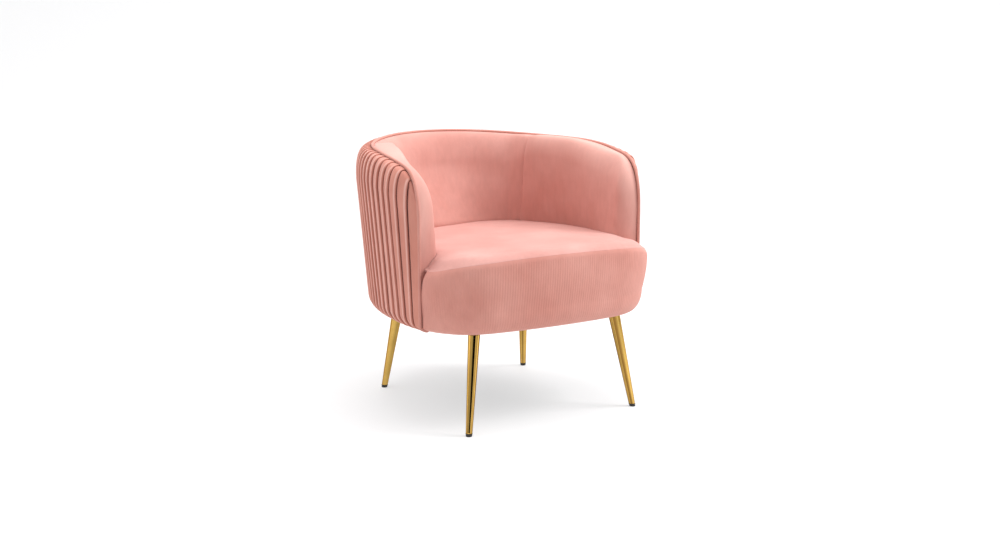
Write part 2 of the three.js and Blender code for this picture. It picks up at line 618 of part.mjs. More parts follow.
function panelShape(rimInset, frontInset, holeRadius, z) {
  const stops = steps(FRAME_START, RIM_LENGTH - FRAME_START, 32).reverse();
  const back = stops.map((s) => at(station(s), [-rimInset, 0]));
  const front = frontStops.slice(1, -1).map((u) => at(frontPlace(u), [-frontInset, 0]));
  const shape = new THREE.Shape([...front, ...back].map((p) => v2(p.x, p.y)));
  for (const leg of LEGS) {
    const [x, y] = axisAt(leg, z);
    shape.holes.push(new THREE.Path().absarc(x, y, holeRadius, 0, 2 * Math.PI, true));
  }
  return shape;
}

function plate(shape, depth) {
  return new THREE.ExtrudeGeometry(shape, { depth, bevelEnabled: false, curveSegments: 8 });
}
add('base_panel', plate(
  panelShape(BASE_INSET, BASE_FRONT_INSET, STUD_HOLE_RADIUS + 2, BASE_BOTTOM_Z + BASE_THICK / 2), BASE_THICK),
timber, [0, 0, BASE_BOTTOM_Z]);
add('dust_cover', plate(
  panelShape(DUST_COVER_INSET, DUST_COVER_FRONT_INSET, STUD_HOLE_RADIUS, DUST_COVER_Z), DUST_COVER_THICK),
nonWoven, [0, 0, DUST_COVER_Z]);

// ---- Legs ----------------------------------------------------------------------------------------

// A level ring round a leg's axis; it is longer the way the leg leans, so the tube stays round.
function legRing(leg, z, radius, sides = 16) {
  const [x, y] = axisAt(leg, z);
  const lean = Math.atan2(leg.splay[1], leg.splay[0]);
  const stretch = Math.hypot(SPLAY_HEIGHT, ...leg.splay) / SPLAY_HEIGHT;
  return steps(0, 2 * Math.PI, sides).slice(0, sides).map((angle) => {
    const along = radius * stretch * Math.cos(angle);
    const across = radius * Math.sin(angle);
    return new THREE.Vector3(
      x + along * Math.cos(lean) - across * Math.sin(lean),
      y + along * Math.sin(lean) + across * Math.cos(lean),
      z);
  });
}
const legRadius = (z) => lerp(LEG_FOOT_RADIUS, LEG_TOP_RADIUS, z / LEG_TOP_Z);

for (const leg of LEGS) {
  const low = CAP_HEIGHT + SLIP;
  const bore = (z) => legRadius(z) - LEG_WALL;
  add(`leg_${leg.name}`, stack([
    legRing(leg, low, legRadius(low)),
    legRing(leg, LEG_TOP_Z, legRadius(LEG_TOP_Z)),
    legRing(leg, LEG_TOP_Z, bore(LEG_TOP_Z)),
    legRing(leg, low, bore(low)),
  ], true), gold);

  add(`foot_cap_${leg.name}`, stack([
    legRing(leg, 0, LEG_FOOT_RADIUS - CAP_BEVEL),
    legRing(leg, CAP_BEVEL, LEG_FOOT_RADIUS),
    legRing(leg, CAP_HEIGHT, legRadius(CAP_HEIGHT)),
    legRing(leg, CAP_HEIGHT, bore(low) - SLIP),
    legRing(leg, CAP_SPIGOT_TOP, bore(low) - SLIP),
  ]), blackPlastic);

  // Threaded stud: its disc is welded inside the tube's top, its rod goes through the base.
  const discLow = STUD_DISC_TOP - STUD_DISC_THICK;
  const discRadius = bore(discLow) - 2 * SLIP;
  add(`leg_stud_${leg.name}`, stack([
    legRing(leg, discLow, discRadius, STUD_SIDES),
    legRing(leg, STUD_DISC_TOP, discRadius, STUD_SIDES),
    legRing(leg, STUD_DISC_TOP, STUD_RADIUS, STUD_SIDES),
    legRing(leg, FRAME_Z + STUD_ABOVE_BASE, STUD_RADIUS, STUD_SIDES),
  ]), steel);

  // Mounting plate under the base panel, with the stud's hole in it.
  const plateZ = BASE_BOTTOM_Z - SLIP - PLATE_THICK;
  add(`leg_plate_${leg.name}`, stack([
    legRing(leg, plateZ, PLATE_RADIUS),
    legRing(leg, plateZ + PLATE_THICK, PLATE_RADIUS),
    legRing(leg, plateZ + PLATE_THICK, STUD_RADIUS + 0.5),
    legRing(leg, plateZ, STUD_RADIUS + 0.5),
  ], true), steel);
}

export default chair;
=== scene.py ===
"""Pink velvet tub armchair: pleated outer cover, piped rim, smooth inside pads, crowned seat, gold legs.

Metres, +Z up. The sitter faces -Y, so the front of the chair is its -Y side.
"""
import math

import bpy
import numpy as np
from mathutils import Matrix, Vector


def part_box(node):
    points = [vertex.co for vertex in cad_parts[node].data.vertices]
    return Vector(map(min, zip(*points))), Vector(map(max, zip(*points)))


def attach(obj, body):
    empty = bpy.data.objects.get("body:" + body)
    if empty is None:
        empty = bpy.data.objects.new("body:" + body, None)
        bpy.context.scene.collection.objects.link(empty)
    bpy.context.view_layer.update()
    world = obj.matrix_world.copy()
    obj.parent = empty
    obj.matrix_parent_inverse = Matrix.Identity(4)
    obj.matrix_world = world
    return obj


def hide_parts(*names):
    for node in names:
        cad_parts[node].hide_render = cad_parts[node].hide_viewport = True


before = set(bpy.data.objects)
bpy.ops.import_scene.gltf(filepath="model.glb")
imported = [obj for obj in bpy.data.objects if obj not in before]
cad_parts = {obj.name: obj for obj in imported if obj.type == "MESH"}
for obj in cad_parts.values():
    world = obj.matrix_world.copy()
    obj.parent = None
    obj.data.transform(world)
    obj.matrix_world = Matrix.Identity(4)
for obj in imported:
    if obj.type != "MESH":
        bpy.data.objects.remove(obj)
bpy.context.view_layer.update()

MM = 0.001
join = np.concatenate

# ---- Camera: made first ----

FRAME_WIDTH_PX = 1000
FOCAL_PX = 1287
SENSOR_MM = 36.0
CAMERA_AZIMUTH = math.radians(-31.3)
CAMERA_ELEVATION = math.radians(11.3)
CAMERA_DISTANCE = 3.456
CAMERA_TARGET = Vector((0.0, -0.033, 0.3045))
CAMERA_SHIFT = (0.0039, 0.0122)


def bearing(azimuth, elevation):
    """Unit direction: azimuth 0 is the chair's front."""
    level = math.cos(elevation)
    return Vector((math.sin(azimuth) * level, -math.cos(azimuth) * level, math.sin(elevation)))


def aimed_object(name, data, location, target):
    obj = bpy.data.objects.new(name, data)
    bpy.context.scene.collection.objects.link(obj)
    obj.location = location
    obj.rotation_mode = "QUATERNION"
    obj.rotation_quaternion = (target - Vector(location)).to_track_quat("-Z", "Y")
    return obj


camera_place = CAMERA_TARGET + bearing(CAMERA_AZIMUTH, CAMERA_ELEVATION) * CAMERA_DISTANCE
camera = aimed_object("camera", bpy.data.cameras.new("camera"), camera_place, CAMERA_TARGET)
camera.data.sensor_width = SENSOR_MM
camera.data.lens = FOCAL_PX * SENSOR_MM / FRAME_WIDTH_PX
camera.data.shift_x, camera.data.shift_y = CAMERA_SHIFT
bpy.context.scene.camera = camera
bpy.context.scene.view_settings.view_transform = "Standard"

# ---- Sizes: places come from the CAD boxes, profiles are the part's own ----

CORD_RADIUS = 4.0 * MM
CORD_GAP = 4.6 * MM
cord_low, cord_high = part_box("rim_piping")
RIM_HALF_WIDTH = 331 * MM
ARM_FRONT_Y = cord_low.y + CORD_RADIUS
RIM_BACK_Y = cord_high.y - CORD_RADIUS
RIM_TOP_Z = cord_high.z - CORD_RADIUS
RIM_BACK_REACH = 420 * MM
RIM_CENTRE_Y = RIM_BACK_Y - RIM_BACK_REACH
RIM_FALL = 0.2
RIM_WAVE = 6 * MM
CORNER_RUN = 80 * MM
CORNER_DROP = 150 * MM
CORNER_POWER = 3
CORD_END_TURN = 2.8  # how far round the outer section, under the base, the cord's two ends run

SHOULDER_OUT = 42 * MM
SHOULDER_DROP = 64 * MM
SHOULDER_POWER = 0.62
COVER_EDGE_DROP = 1.5 * MM
TAPER_START_Z = 600 * MM
TAPER_END_Z = 290 * MM
TAPER_END_OUT = 15.5 * MM
FRONT_FADE = 90 * MM
UNDERSIDE_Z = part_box("outer_back_cover")[0].z
UNDERSIDE_TURN = 55 * MM
UNDERSIDE_FRONT_RISE = 5 * MM

PAD_DEPTH = 57.6 * MM
PAD_EDGE_DROP = -1.4 * MM
PAD_CROWN_END = 0.4
# At four places of the wall, in mm: how far in the crown's top lies, the pad's depth below, its rise, its fall.
CROWN_FRONT = (22, 57.6, 1.5, 60)
CROWN_NECK = (14, 42, 1.5, 60)
CROWN_ARM = (46, 67, 9.5, 45)
CROWN_BACK = (12, 46, 1.5, 85)
NECK_AT = 60 * MM
NECK_LENGTH = 50 * MM
ARM_BROAD = (100 * MM, 260 * MM)
ARM_ENDS = (380 * MM, 480 * MM)
PAD_LOW_BACK = 68 * MM  # how much deeper the back pad is by the seat
PAD_LOW_SPAN = 220 * MM
PAD_LOW_POWER = 1.5
PAD_EDGE = 3.1 * MM
NOSE_LENGTH = 28 * MM
NOSE_FORWARD = 1.5 * MM  # closes the pad up to the piping where that runs upright
NOSE_FORWARD_RUN = 22 * MM
SEAT_JOIN_Z = 440 * MM
PAD_BOTTOM_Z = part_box("inside_back_cover")[0].z
PAD_BACKING = 16 * MM

PLEAT_FIRST = 33 * MM
PLEAT_PITCH = 27 * MM

FRONT_HALF_WIDTH = 327 * MM
band_low, band_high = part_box("front_band_cover")
FRONT_SIDE_Y = band_high.y
FRONT_MIDDLE_Y = band_low.y
FRONT_BOW = 36 * MM
FRONT_FLAT = 182 * MM
SEAM_MIDDLE_Z = 438 * MM
SEAM_SIDE_FALL = 16 * MM
SEAM_END_FALL = 18 * MM
SEAM_END_POWER = 8
BAND_TURN_Z = 307 * MM
BAND_BOTTOM_Z = band_low.z
BAND_TAPER = 12 * MM
BAND_BULGE = 2.3 * MM
BAND_TURN = 34 * MM
BAND_TAPER_END = 2 * MM
BAND_END_RUN = 60 * MM
BAND_PINCH_Z = 396 * MM  # the band's ends are drawn in deepest at this height
BAND_PINCH = 5 * MM
BAND_PINCH_HEIGHT = 13 * MM
BAND_PINCH_RUN = 9 * MM
BAND_THICKNESS = 14 * MM
BAND_FINE = 0.08  # this share of the way down from the seam gets closer rows
END_TUCK = 3.5 * MM
END_TUCK_RUN = 22 * MM
END_TUCK_FROM_Z = 340 * MM
END_TUCK_RISE = 50 * MM
HIDDEN_TUCK = 2 * MM
EDGE_ROLL = (2.8 * MM, 10.0 * MM)  # along the front, and round the corners
EDGE_ROLL_LENGTH = (13 * MM, 24 * MM)
SEAM_SLIT = 0.06 * MM  # half the slit between seat and band
RIB_PITCH = 6.9 * MM
RIB_HEIGHT = 0.25 * MM
RIB_START = 14 * MM
SEAM_ALLOWANCE = 4 * MM
SEAT_CROWN_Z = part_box("seat_top_cover")[1].z
SEAT_CROWN_FALL = 9 * MM
SEAT_LEAN = 14 * MM
WING_START = 235 * MM
WING_DROP = 38 * MM
WING_POWER = 1.8
WING_BACK_Y = -185 * MM
WING_RUN = 45 * MM
FRONT_ROLL = 34 * MM
FRONT_ROLL_POWER = 2.2
BACK_ROLL = 28 * MM
SEAT_UNDER_Z = 400 * MM
SEAT_COLUMNS = 261
SEAT_EDGE_ROWS = 0.10  # this share of the way from either edge gets closer rows
SEAT_LEAN_X = 100 * MM
CLOTH_WAVE_FADE = 50 * MM
WAVE_COUNT = 5
WAVE_GAIN = 1.4
BEZIER_ARC = 0.5523  # handle length of a Bezier curve that follows a quarter circle

# ---- Small helpers ----


def clip01(x):
    return np.clip(x, 0.0, 1.0)


def smooth01(x):
    x = clip01(x)
    return x * x * (3 - 2 * x)


def share01(x, start, end):
    """0 at start, 1 at end, evenly between."""
    return clip01((x - start) / (end - start))


def mix(a, b, w):
    return a + (b - a) * w


def unit(v):
    return v / np.maximum(np.linalg.norm(v, axis=-1, keepdims=True), 1e-12)


def waves(seed, x, y, length):
    """Smooth wandering between about -1 and 1: a few sine waves in x and y with seeded directions."""
    draw = np.random.default_rng(seed)
    total = 0.0
    for _ in range(WAVE_COUNT):
        turn = draw.uniform(0, 2 * math.pi)
        phase = draw.uniform(0, 2 * math.pi)
        stretch = draw.uniform(0.7, 1.6)
        along = (x * math.cos(turn) + y * math.sin(turn)) / (length * stretch)
        total = total + np.sin(2 * math.pi * along + phase)
    return total / WAVE_COUNT * WAVE_GAIN


def line_lengths(points):
    """Distance along a line at each of its points."""
    return join([[0], np.cumsum(np.linalg.norm(np.diff(points, axis=0), axis=1))])


def resample(points, count):
    """A line with evenly spaced points, and the distance along it at each."""
    along = line_lengths(points)
    at = np.linspace(0, along[-1], count)
    return np.stack([np.interp(at, along, axis) for axis in points.T], -1), at


def even_line(points, step):
    return resample(points, int(line_lengths(points)[-1] / step) + 1)


def make_object(name, points, faces, material):
    mesh = bpy.data.meshes.new(name)
    mesh.from_pydata(np.asarray(points, float).tolist(), [], [[int(i) for i in face] for face in faces])
    mesh.validate()
    mesh.shade_smooth()
    mesh.materials.append(material)
    obj = bpy.data.objects.new(name, mesh)
    bpy.context.scene.collection.objects.link(obj)
    return obj


def finish_piece(obj, nodes=()):
    """The piece rides on the chair and stands in for the CAD nodes it is made for, which are hidden."""
    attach(obj, "root")
    if nodes:
        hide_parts(*nodes)


def grid_faces(rows, columns, start=0, ring=False, loop=False):
    """Quads between rows of points; ring joins the two ends of each row, loop the last row to the first."""
    steps = np.arange(rows if loop else rows - 1), np.arange(columns if ring else columns - 1)
    i, j = np.meshgrid(*steps, indexing="ij")
    low, high, after = start + i * columns, start + (i + 1) % rows * columns, (j + 1) % columns
    return np.stack([low + j, low + after, high + after, high + j], -1).reshape(-1, 4)


def tube_faces(rings, sides, start=0, loop=False):
    """Quads between rings of points; a loop joins the last ring to the first, any other tube is capped."""
    last = start + (rings - 1) * sides
    caps = [] if loop else [tuple(range(start, start + sides))[::-1], tuple(range(last, last + sides))]
    return [*grid_faces(rings, sides, start, ring=True, loop=loop), *caps]


def zip_lines(a, b):
    """Triangles between two lines of point numbers, matched by their share of the way along."""
    faces, i, j = [], 0, 0
    while i < len(a) - 1 or j < len(b) - 1:
        if j == len(b) - 1 or (i + 1) * (len(b) - 1) <= (j + 1) * (len(a) - 1):
            faces.append((a[i], a[i + 1], b[j]))
            i += 1
        else:
            faces.append((a[i], b[j + 1], b[j]))
            j += 1
    return faces


def closed_sheet(face, back):
    """A closed body from a fine face grid and a plain back grid with the same number of columns."""
    rows, columns = face.shape[:2]
    back_rows = back.shape[0]
    start = rows * columns
    points = join([face.reshape(-1, 3), back.reshape(-1, 3)])
    number = np.arange(start).reshape(rows, columns)
    behind = start + np.arange(back_rows * columns).reshape(back_rows, columns)
    faces = [*grid_faces(rows, columns), *grid_faces(back_rows, columns, start)[:, ::-1]]
    for row, order in ((0, 1), (-1, -1)):
        f, b = number[row], behind[row]
        faces += [(f[k], f[k + 1], b[k + 1], b[k])[::order] for k in range(columns - 1)]
    for column, order in ((0, 1), (-1, -1)):
        faces += [corners[::order] for corners in zip_lines(number[:, column], behind[:, column])]
    return points, faces


def set_attribute(obj, name, values, rest=1.0):
    """A number for each point; points past the end of values get rest."""
    full = np.full(len(obj.data.vertices), rest, np.float32)
    full[: np.size(values)] = np.ravel(values)
    obj.data.attributes.new(name, "FLOAT", "POINT").data.foreach_set("value", full)


# ---- Materials ----


def as_colour(value):
    return (*value, 1.0) if hasattr(value, "__len__") else (value, value, value, 1.0)


def feed(tree, socket, value):
    """Link a node's output to a socket, or set the socket's own number or colour."""
    if isinstance(value, bpy.types.NodeSocket):
        tree.links.new(value, socket)
    else:
        socket.default_value = as_colour(value) if socket.type == "RGBA" else value


def mix_node(tree, blend, factor, a, b):
    made = tree.nodes.new("ShaderNodeMix")
    made.data_type = "RGBA"
    made.blend_type = blend
    sockets = [s for s in made.inputs if s.enabled]
    for socket, value in zip(sockets, (factor, a, b)):
        feed(tree, socket, value)
    return next(s for s in made.outputs if s.enabled)


class Nodes:
    """A short way to write a material's node tree; an underscore in an input's name stands for a space."""

    def __init__(self, name):
        self.material = bpy.data.materials.new(name)
        self.material.use_nodes = True
        self.tree = self.material.node_tree
        self.shader = self.tree.nodes["Principled BSDF"]

    def node(self, kind, settings=(), **inputs):
        made = self.tree.nodes.new("ShaderNode" + kind)
        for key, value in dict(settings).items():
            setattr(made, key, value)
        for key, value in inputs.items():
            feed(self.tree, made.inputs[key], value)
        return made

    def finish(self, **inputs):
        """Feed the shader; hands back the material."""
        for key, value in inputs.items():
            feed(self.tree, self.shader.inputs[key.replace("_", " ")], value)
        return self.material

    def coordinates(self, scale=(1, 1, 1)):
        plain = self.node("TexCoord").outputs["Object"]
        return self.node("Mapping", Vector=plain, Scale=scale).outputs["Vector"]

    def noise(self, vector, scale, detail, roughness):
        return self.node("TexNoise", Vector=vector, Scale=scale, Detail=detail,
                         Roughness=roughness).outputs["Fac"]

    def ramp(self, fac, stops):
        ramp = self.node("ValToRGB", Fac=fac)
        elements = ramp.color_ramp.elements
        while len(elements) < len(stops):
            elements.new(0.5)
        for element, (position, colour) in zip(elements, stops):
            element.position = position
            element.color = as_colour(colour)
        return ramp.outputs["Color"]

    def math(self, operation, a, b):
        made = self.node("Math", {"operation": operation})
        for socket, value in zip(made.inputs, (a, b)):
            feed(self.tree, socket, value)
        return made.outputs["Value"]

    def mix(self, blend, factor, a, b):
        return mix_node(self.tree, blend, factor, a, b)

    def attribute(self, name):
        return self.node("Attribute", {"attribute_name": name}).outputs["Fac"]

    def bump(self, height, strength, distance):
        made = self.node("Bump", Height=height, Strength=strength, Distance=distance)
        return made.outputs["Normal"]


# Painted shade: the dark colour laid into crevices, creases and seams, where shade falls.
CREASE_SHADE_COLOUR = (0.13, 0.014, 0.007)
# Painted highlight colour for pleat lips and arm crowns; on a lip the opened pile is also paler.
HIGHLIGHT_COLOUR = (0.80, 0.49, 0.43)
VELVET_MID = (0.57, 0.252, 0.211)
VELVET_LIGHT = (0.665, 0.334, 0.288)
SHEEN_TINT = (1.0, 0.74, 0.69)
SHEEN_WEIGHT = 0.4
SHEEN_ROUGHNESS = 0.38
HIGHLIGHT_SHARE = 0.6  # how much of the painted highlight colour shows where the attribute is 1
STREAK_STRETCH = (1.0, 1.0, 0.22)
GOLD_DARK = (0.58, 0.365, 0.095)
GOLD_LIGHT = (0.69, 0.445, 0.12)
# Colour of the painted reflection streaks on the legs.
GOLD_REFLECTION_STREAK = (0.40, 0.33, 0.28)
GOLD_EDGE = (0.30, 0.14, 0.05)


def velvet(name, tint=(1.0, 1.0, 1.0), gloss=0.22):
    """Short-pile velvet: nap clouds, fine brushed streaks, pile grain, painted shade in folds and creases, a
    painted highlight on lips and crowns, soft grazing sheen.
    """
    m = Nodes(name)
    plain = m.coordinates()
    clouds = m.noise(plain, scale=7.0, detail=3.0, roughness=0.55)
    streaks = m.noise(m.coordinates(STREAK_STRETCH), scale=95.0, detail=3.0, roughness=0.6)
    grain = m.noise(plain, scale=1400.0, detail=2.0, roughness=0.7)
    deep, pale = (tuple(c * n for c, n in zip(shade, tint)) for shade in (VELVET_MID, VELVET_LIGHT))
    colour = m.ramp(clouds, [(0.30, deep), (0.75, pale)])
    colour = m.mix("MULTIPLY", 0.35, colour, m.ramp(streaks, [(0.30, 0.80), (0.70, 1.0)]))
    colour = m.mix("MULTIPLY", 0.5, colour, m.ramp(grain, [(0.30, 0.86), (0.70, 1.0)]))
    # painted highlight: a paler colour laid on pleat lips and arm crowns
    colour = m.mix("MIX", m.math("MULTIPLY", m.attribute("painted_highlight"), HIGHLIGHT_SHARE), colour, HIGHLIGHT_COLOUR)
    # painted shade: the crease colour takes over where the attribute falls towards 0
    shade = m.ramp(m.attribute("painted_shade"), [(0.0, 0.0), (0.45, 0.75), (1.0, 1.0)])
    colour = m.mix("MIX", shade, CREASE_SHADE_COLOUR, colour)
    height = m.math("ADD", m.math("MULTIPLY", grain, 0.6), streaks)
    return m.finish(
        Base_Color=colour, Roughness=m.ramp(streaks, [(0.3, 0.78), (0.7, 0.92)]),
        Normal=m.bump(height, strength=0.35, distance=0.6 * MM), Specular_IOR_Level=gloss,
        Sheen_Weight=SHEEN_WEIGHT, Sheen_Roughness=SHEEN_ROUGHNESS, Sheen_Tint=SHEEN_TINT)


def gold():
    """Polished gold-tone plating: painted reflection streaks lengthwise round the tube, fine polish lines,
    slight smudges, darker edges.
    """
    m = Nodes("gold_plating")
    lines = m.noise(m.coordinates((1, 1, 0.02)), scale=900.0, detail=2.0, roughness=0.6)
    smudge = m.noise(m.coordinates(), scale=22.0, detail=4.0, roughness=0.6)
    around = m.node("CombineXYZ", X=m.attribute("round_x"), Y=m.attribute("round_y"),
                    Z=m.attribute("leg")).outputs["Vector"]
    # painted reflection: dark lengthwise streaks round each leg, set by its angle round the tube
    reflection_streaks = m.noise(around, scale=2.6, detail=3.0, roughness=0.6)
    colour = m.ramp(smudge, [(0.3, GOLD_DARK), (0.7, GOLD_LIGHT)])
    colour = m.mix("MULTIPLY", 1.0, colour, m.ramp(reflection_streaks, [(0.40, GOLD_REFLECTION_STREAK), (0.53, 1.0)]))
    rough = m.math("ADD", m.math("MULTIPLY", smudge, 0.05), m.math("MULTIPLY", lines, 0.03))
    return m.finish(
        Base_Color=colour, Metallic=1.0, Roughness=m.math("ADD", rough, 0.03),
        Normal=m.bump(lines, strength=0.05, distance=0.2 * MM), Specular_Tint=GOLD_EDGE)


def plastic(name, colour):
    """Moulded plastic with a fine spark-eroded texture and slightly worn high spots."""
    m = Nodes(name)
    plain = m.coordinates()
    fine = m.noise(plain, scale=1800.0, detail=2.0, roughness=0.6)
    wear = m.noise(plain, scale=120.0, detail=3.0, roughness=0.6)
    dark = tuple(c * 0.7 for c in colour)
    worn = tuple(c * 1.6 + 0.004 for c in colour)
    return m.finish(
        Base_Color=m.ramp(wear, [(0.35, dark), (0.7, worn)]),
        Roughness=m.math("ADD", m.math("MULTIPLY", wear, 0.2), 0.35),
        Normal=m.bump(fine, strength=0.3, distance=0.2 * MM))


def timber(name, light, dark, grain_axis):
    """Sawn timber: long grain noise and saw marks."""
    m = Nodes(name)
    scale = [14.0, 14.0, 14.0]
    scale[grain_axis] = 1.2
    grain = m.noise(m.coordinates(scale), scale=9.0, detail=6.0, roughness=0.65)
    saw = m.noise(m.coordinates(), scale=420.0, detail=2.0, roughness=0.7)
    colour = m.ramp(grain, [(0.30, dark), (0.55, light), (0.80, tuple(c * 1.15 for c in light))])
    colour = m.mix("MULTIPLY", 0.3, colour, m.ramp(saw, [(0.3, 0.75), (0.7, 1.0)]))
    height = m.math("ADD", grain, m.math("MULTIPLY", saw, 0.4))
    return m.finish(
        Base_Color=colour, Roughness=m.ramp(grain, [(0.3, 0.6), (0.8, 0.8)]),
        Normal=m.bump(height, strength=0.4, distance=0.6 * MM))


def woven(name, colour, pitch):
    """Woven or spun-bonded cloth: two crossed sets of threads, fibre speckle."""
    m = Nodes(name)
    coordinates = m.node("TexCoord").outputs["Object"]
    split = m.node("SeparateXYZ", Vector=coordinates)
    across, along = (m.math("SINE", m.math("MULTIPLY", split.outputs[axis], 2 * math.pi / pitch), 0.0)
                     for axis in ("X", "Y"))
    speckle = m.noise(coordinates, scale=700.0, detail=3.0, roughness=0.7)
    height = m.math("ADD", m.math("MULTIPLY", m.math("MULTIPLY", across, along), 0.5), speckle)
    return m.finish(
        Base_Color=m.ramp(height, [(0.1, tuple(c * 0.55 for c in colour)), (0.9, colour)]),
        Roughness=m.ramp(speckle, [(0.3, 0.8), (0.7, 0.95)]),
        Normal=m.bump(height, strength=0.4, distance=0.4 * MM))


def steel():
    """Zinc-plated steel with a faint spangle."""
    m = Nodes("zinc_steel")
    spangle = m.noise(m.coordinates(), scale=260.0, detail=3.0, roughness=0.6)
    return m.finish(
        Base_Color=m.ramp(spangle, [(0.3, (0.42, 0.43, 0.45)), (0.7, (0.62, 0.63, 0.65))]), Metallic=1.0,
        Roughness=m.ramp(spangle, [(0.3, 0.28), (0.7, 0.48)]),
        Normal=m.bump(spangle, strength=0.1, distance=0.3 * MM))


# Copies of the velvet, colour shifted: the seat's paler, a painted highlight for light from above; the pleated
# cover's deeper, painted shade; the band's and piping's a little.
VELVET = velvet("velvet")
PLEATED_SHADED = velvet("velvet_pleated_shaded", (0.98, 0.88, 0.81), 0.06)
SEAT_VELVET_LIT = velvet("velvet_seat_lit", (0.975, 1.05, 1.09))
RIBBED = velvet("velvet_ribbed", (1.02, 0.97, 0.94))
PIPING = velvet("velvet_piping", (0.97, 0.93, 0.90))
GOLD = gold()
BLACK_PLASTIC = plastic("black_plastic", (0.011, 0.011, 0.012))
TIMBER = timber("pine_timber", (0.62, 0.42, 0.24), (0.38, 0.22, 0.11), grain_axis=1)
FIBREBOARD = timber("fibreboard", (0.40, 0.27, 0.16), (0.28, 0.18, 0.10), grain_axis=2)
WEBBING = woven("elastic_webbing", (0.045, 0.043, 0.042), 2.4 * MM)
NON_WOVEN = woven("non_woven_cloth", (0.020, 0.020, 0.022), 1.1 * MM)
STEEL = steel()

# ---- The rim line and the wall's sections ----

STRAIGHT = RIM_CENTRE_Y - ARM_FRONT_Y
ARC_ANGLES = np.linspace(0, math.pi, 4001)
ARC = np.stack([RIM_HALF_WIDTH * np.cos(ARC_ANGLES), RIM_BACK_REACH * np.sin(ARC_ANGLES)], -1)
ARC_LENGTHS = line_lengths(ARC)
RIM_LENGTH = ARC_LENGTHS[-1] + 2 * STRAIGHT


def station(s):
    """Plan place and outward direction at distance s along the rim, from the left arm's front."""
    s = np.asarray(s, float)
    angle = np.interp(s - STRAIGHT, ARC_LENGTHS, ARC_ANGLES)
    ahead = np.clip(STRAIGHT - s, 0, None) + np.clip(s - (RIM_LENGTH - STRAIGHT), 0, None)
    x = -RIM_HALF_WIDTH * np.cos(angle)
    y = RIM_CENTRE_Y + RIM_BACK_REACH * np.sin(angle) - ahead
    out = unit(np.stack([-np.cos(angle) / RIM_HALF_WIDTH, np.sin(angle) / RIM_BACK_REACH], -1))
    return x, y, out[..., 0], out[..., 1]


def rim_height(s, front):
    q = clip01((CORNER_RUN - front) / CORNER_RUN) ** CORNER_POWER
    corner = CORNER_DROP * (1 - (1 - q) ** (1 / CORNER_POWER))
    behind = RIM_BACK_Y - station(s)[1]
    wave = RIM_WAVE * np.sin(2 * math.pi * behind / (RIM_BACK_REACH + STRAIGHT))
    return RIM_TOP_Z - RIM_FALL * behind ** 2 - wave - corner


def wall_front(s):
    return np.maximum(0, np.minimum(s, RIM_LENGTH - s) - CORD_GAP)


def wall_top(s):
    return rim_height(s, wall_front(s)) - CORD_GAP


def place(s, out, z):
    x, y, nx, ny = station(s)
    return np.stack([x + nx * out, y + ny * out, z + 0 * x], -1)


def outward_at(s):
    nx, ny = station(s)[2:]
    return np.stack([nx, ny, 0 * nx], -1)


def outer_section(s, v):
    """Offset and height of the outer cover: v 0 to 1 over the shoulder, 2 down the side, 3 round under."""
    fade = np.sin(math.pi / 2 * clip01(wall_front(s) / FRONT_FADE))
    shoulder_z = wall_top(s) - SHOULDER_DROP
    top = wall_top(s) + fade * (CORD_GAP - COVER_EDGE_DROP)
    over, turn = clip01(v) * math.pi / 2, clip01(v - 2) * math.pi / 2
    side_z = mix(shoulder_z, TAPER_END_Z, clip01(v - 1))
    taper = share01(side_z, TAPER_START_Z, TAPER_END_Z)
    side_out = mix(SHOULDER_OUT, TAPER_END_OUT, taper)
    out = np.where(v < 1, mix(CORD_GAP, side_out, np.sin(over) ** SHOULDER_POWER), side_out)
    out = np.where(v > 2, TAPER_END_OUT - UNDERSIDE_TURN * (1 - np.cos(turn)), out)
    z = np.where(v < 1, top - (top - shoulder_z) * (1 - np.cos(over)), side_z)
    under_z = UNDERSIDE_Z + UNDERSIDE_FRONT_RISE * (1 - fade)
    z = np.where(v > 2, TAPER_END_Z - (TAPER_END_Z - under_z) * np.sin(turn), z)
    return np.maximum(out, 0) * fade + np.minimum(out, 0), z


def crown_at(front):
    """The crown's four sizes at a distance behind the arm front: front, slim neck, broad arm, then the back."""
    neck = np.exp(-((front - NECK_AT) / NECK_LENGTH) ** 2)
    arm = smooth01(share01(front, *ARM_BROAD))
    back = smooth01(share01(front, *ARM_ENDS))
    sizes = zip(CROWN_FRONT, CROWN_NECK, CROWN_ARM, CROWN_BACK)
    return [MM * mix(mix(mix(f, n, neck), a, arm), b, back) for f, n, a, b in sizes]


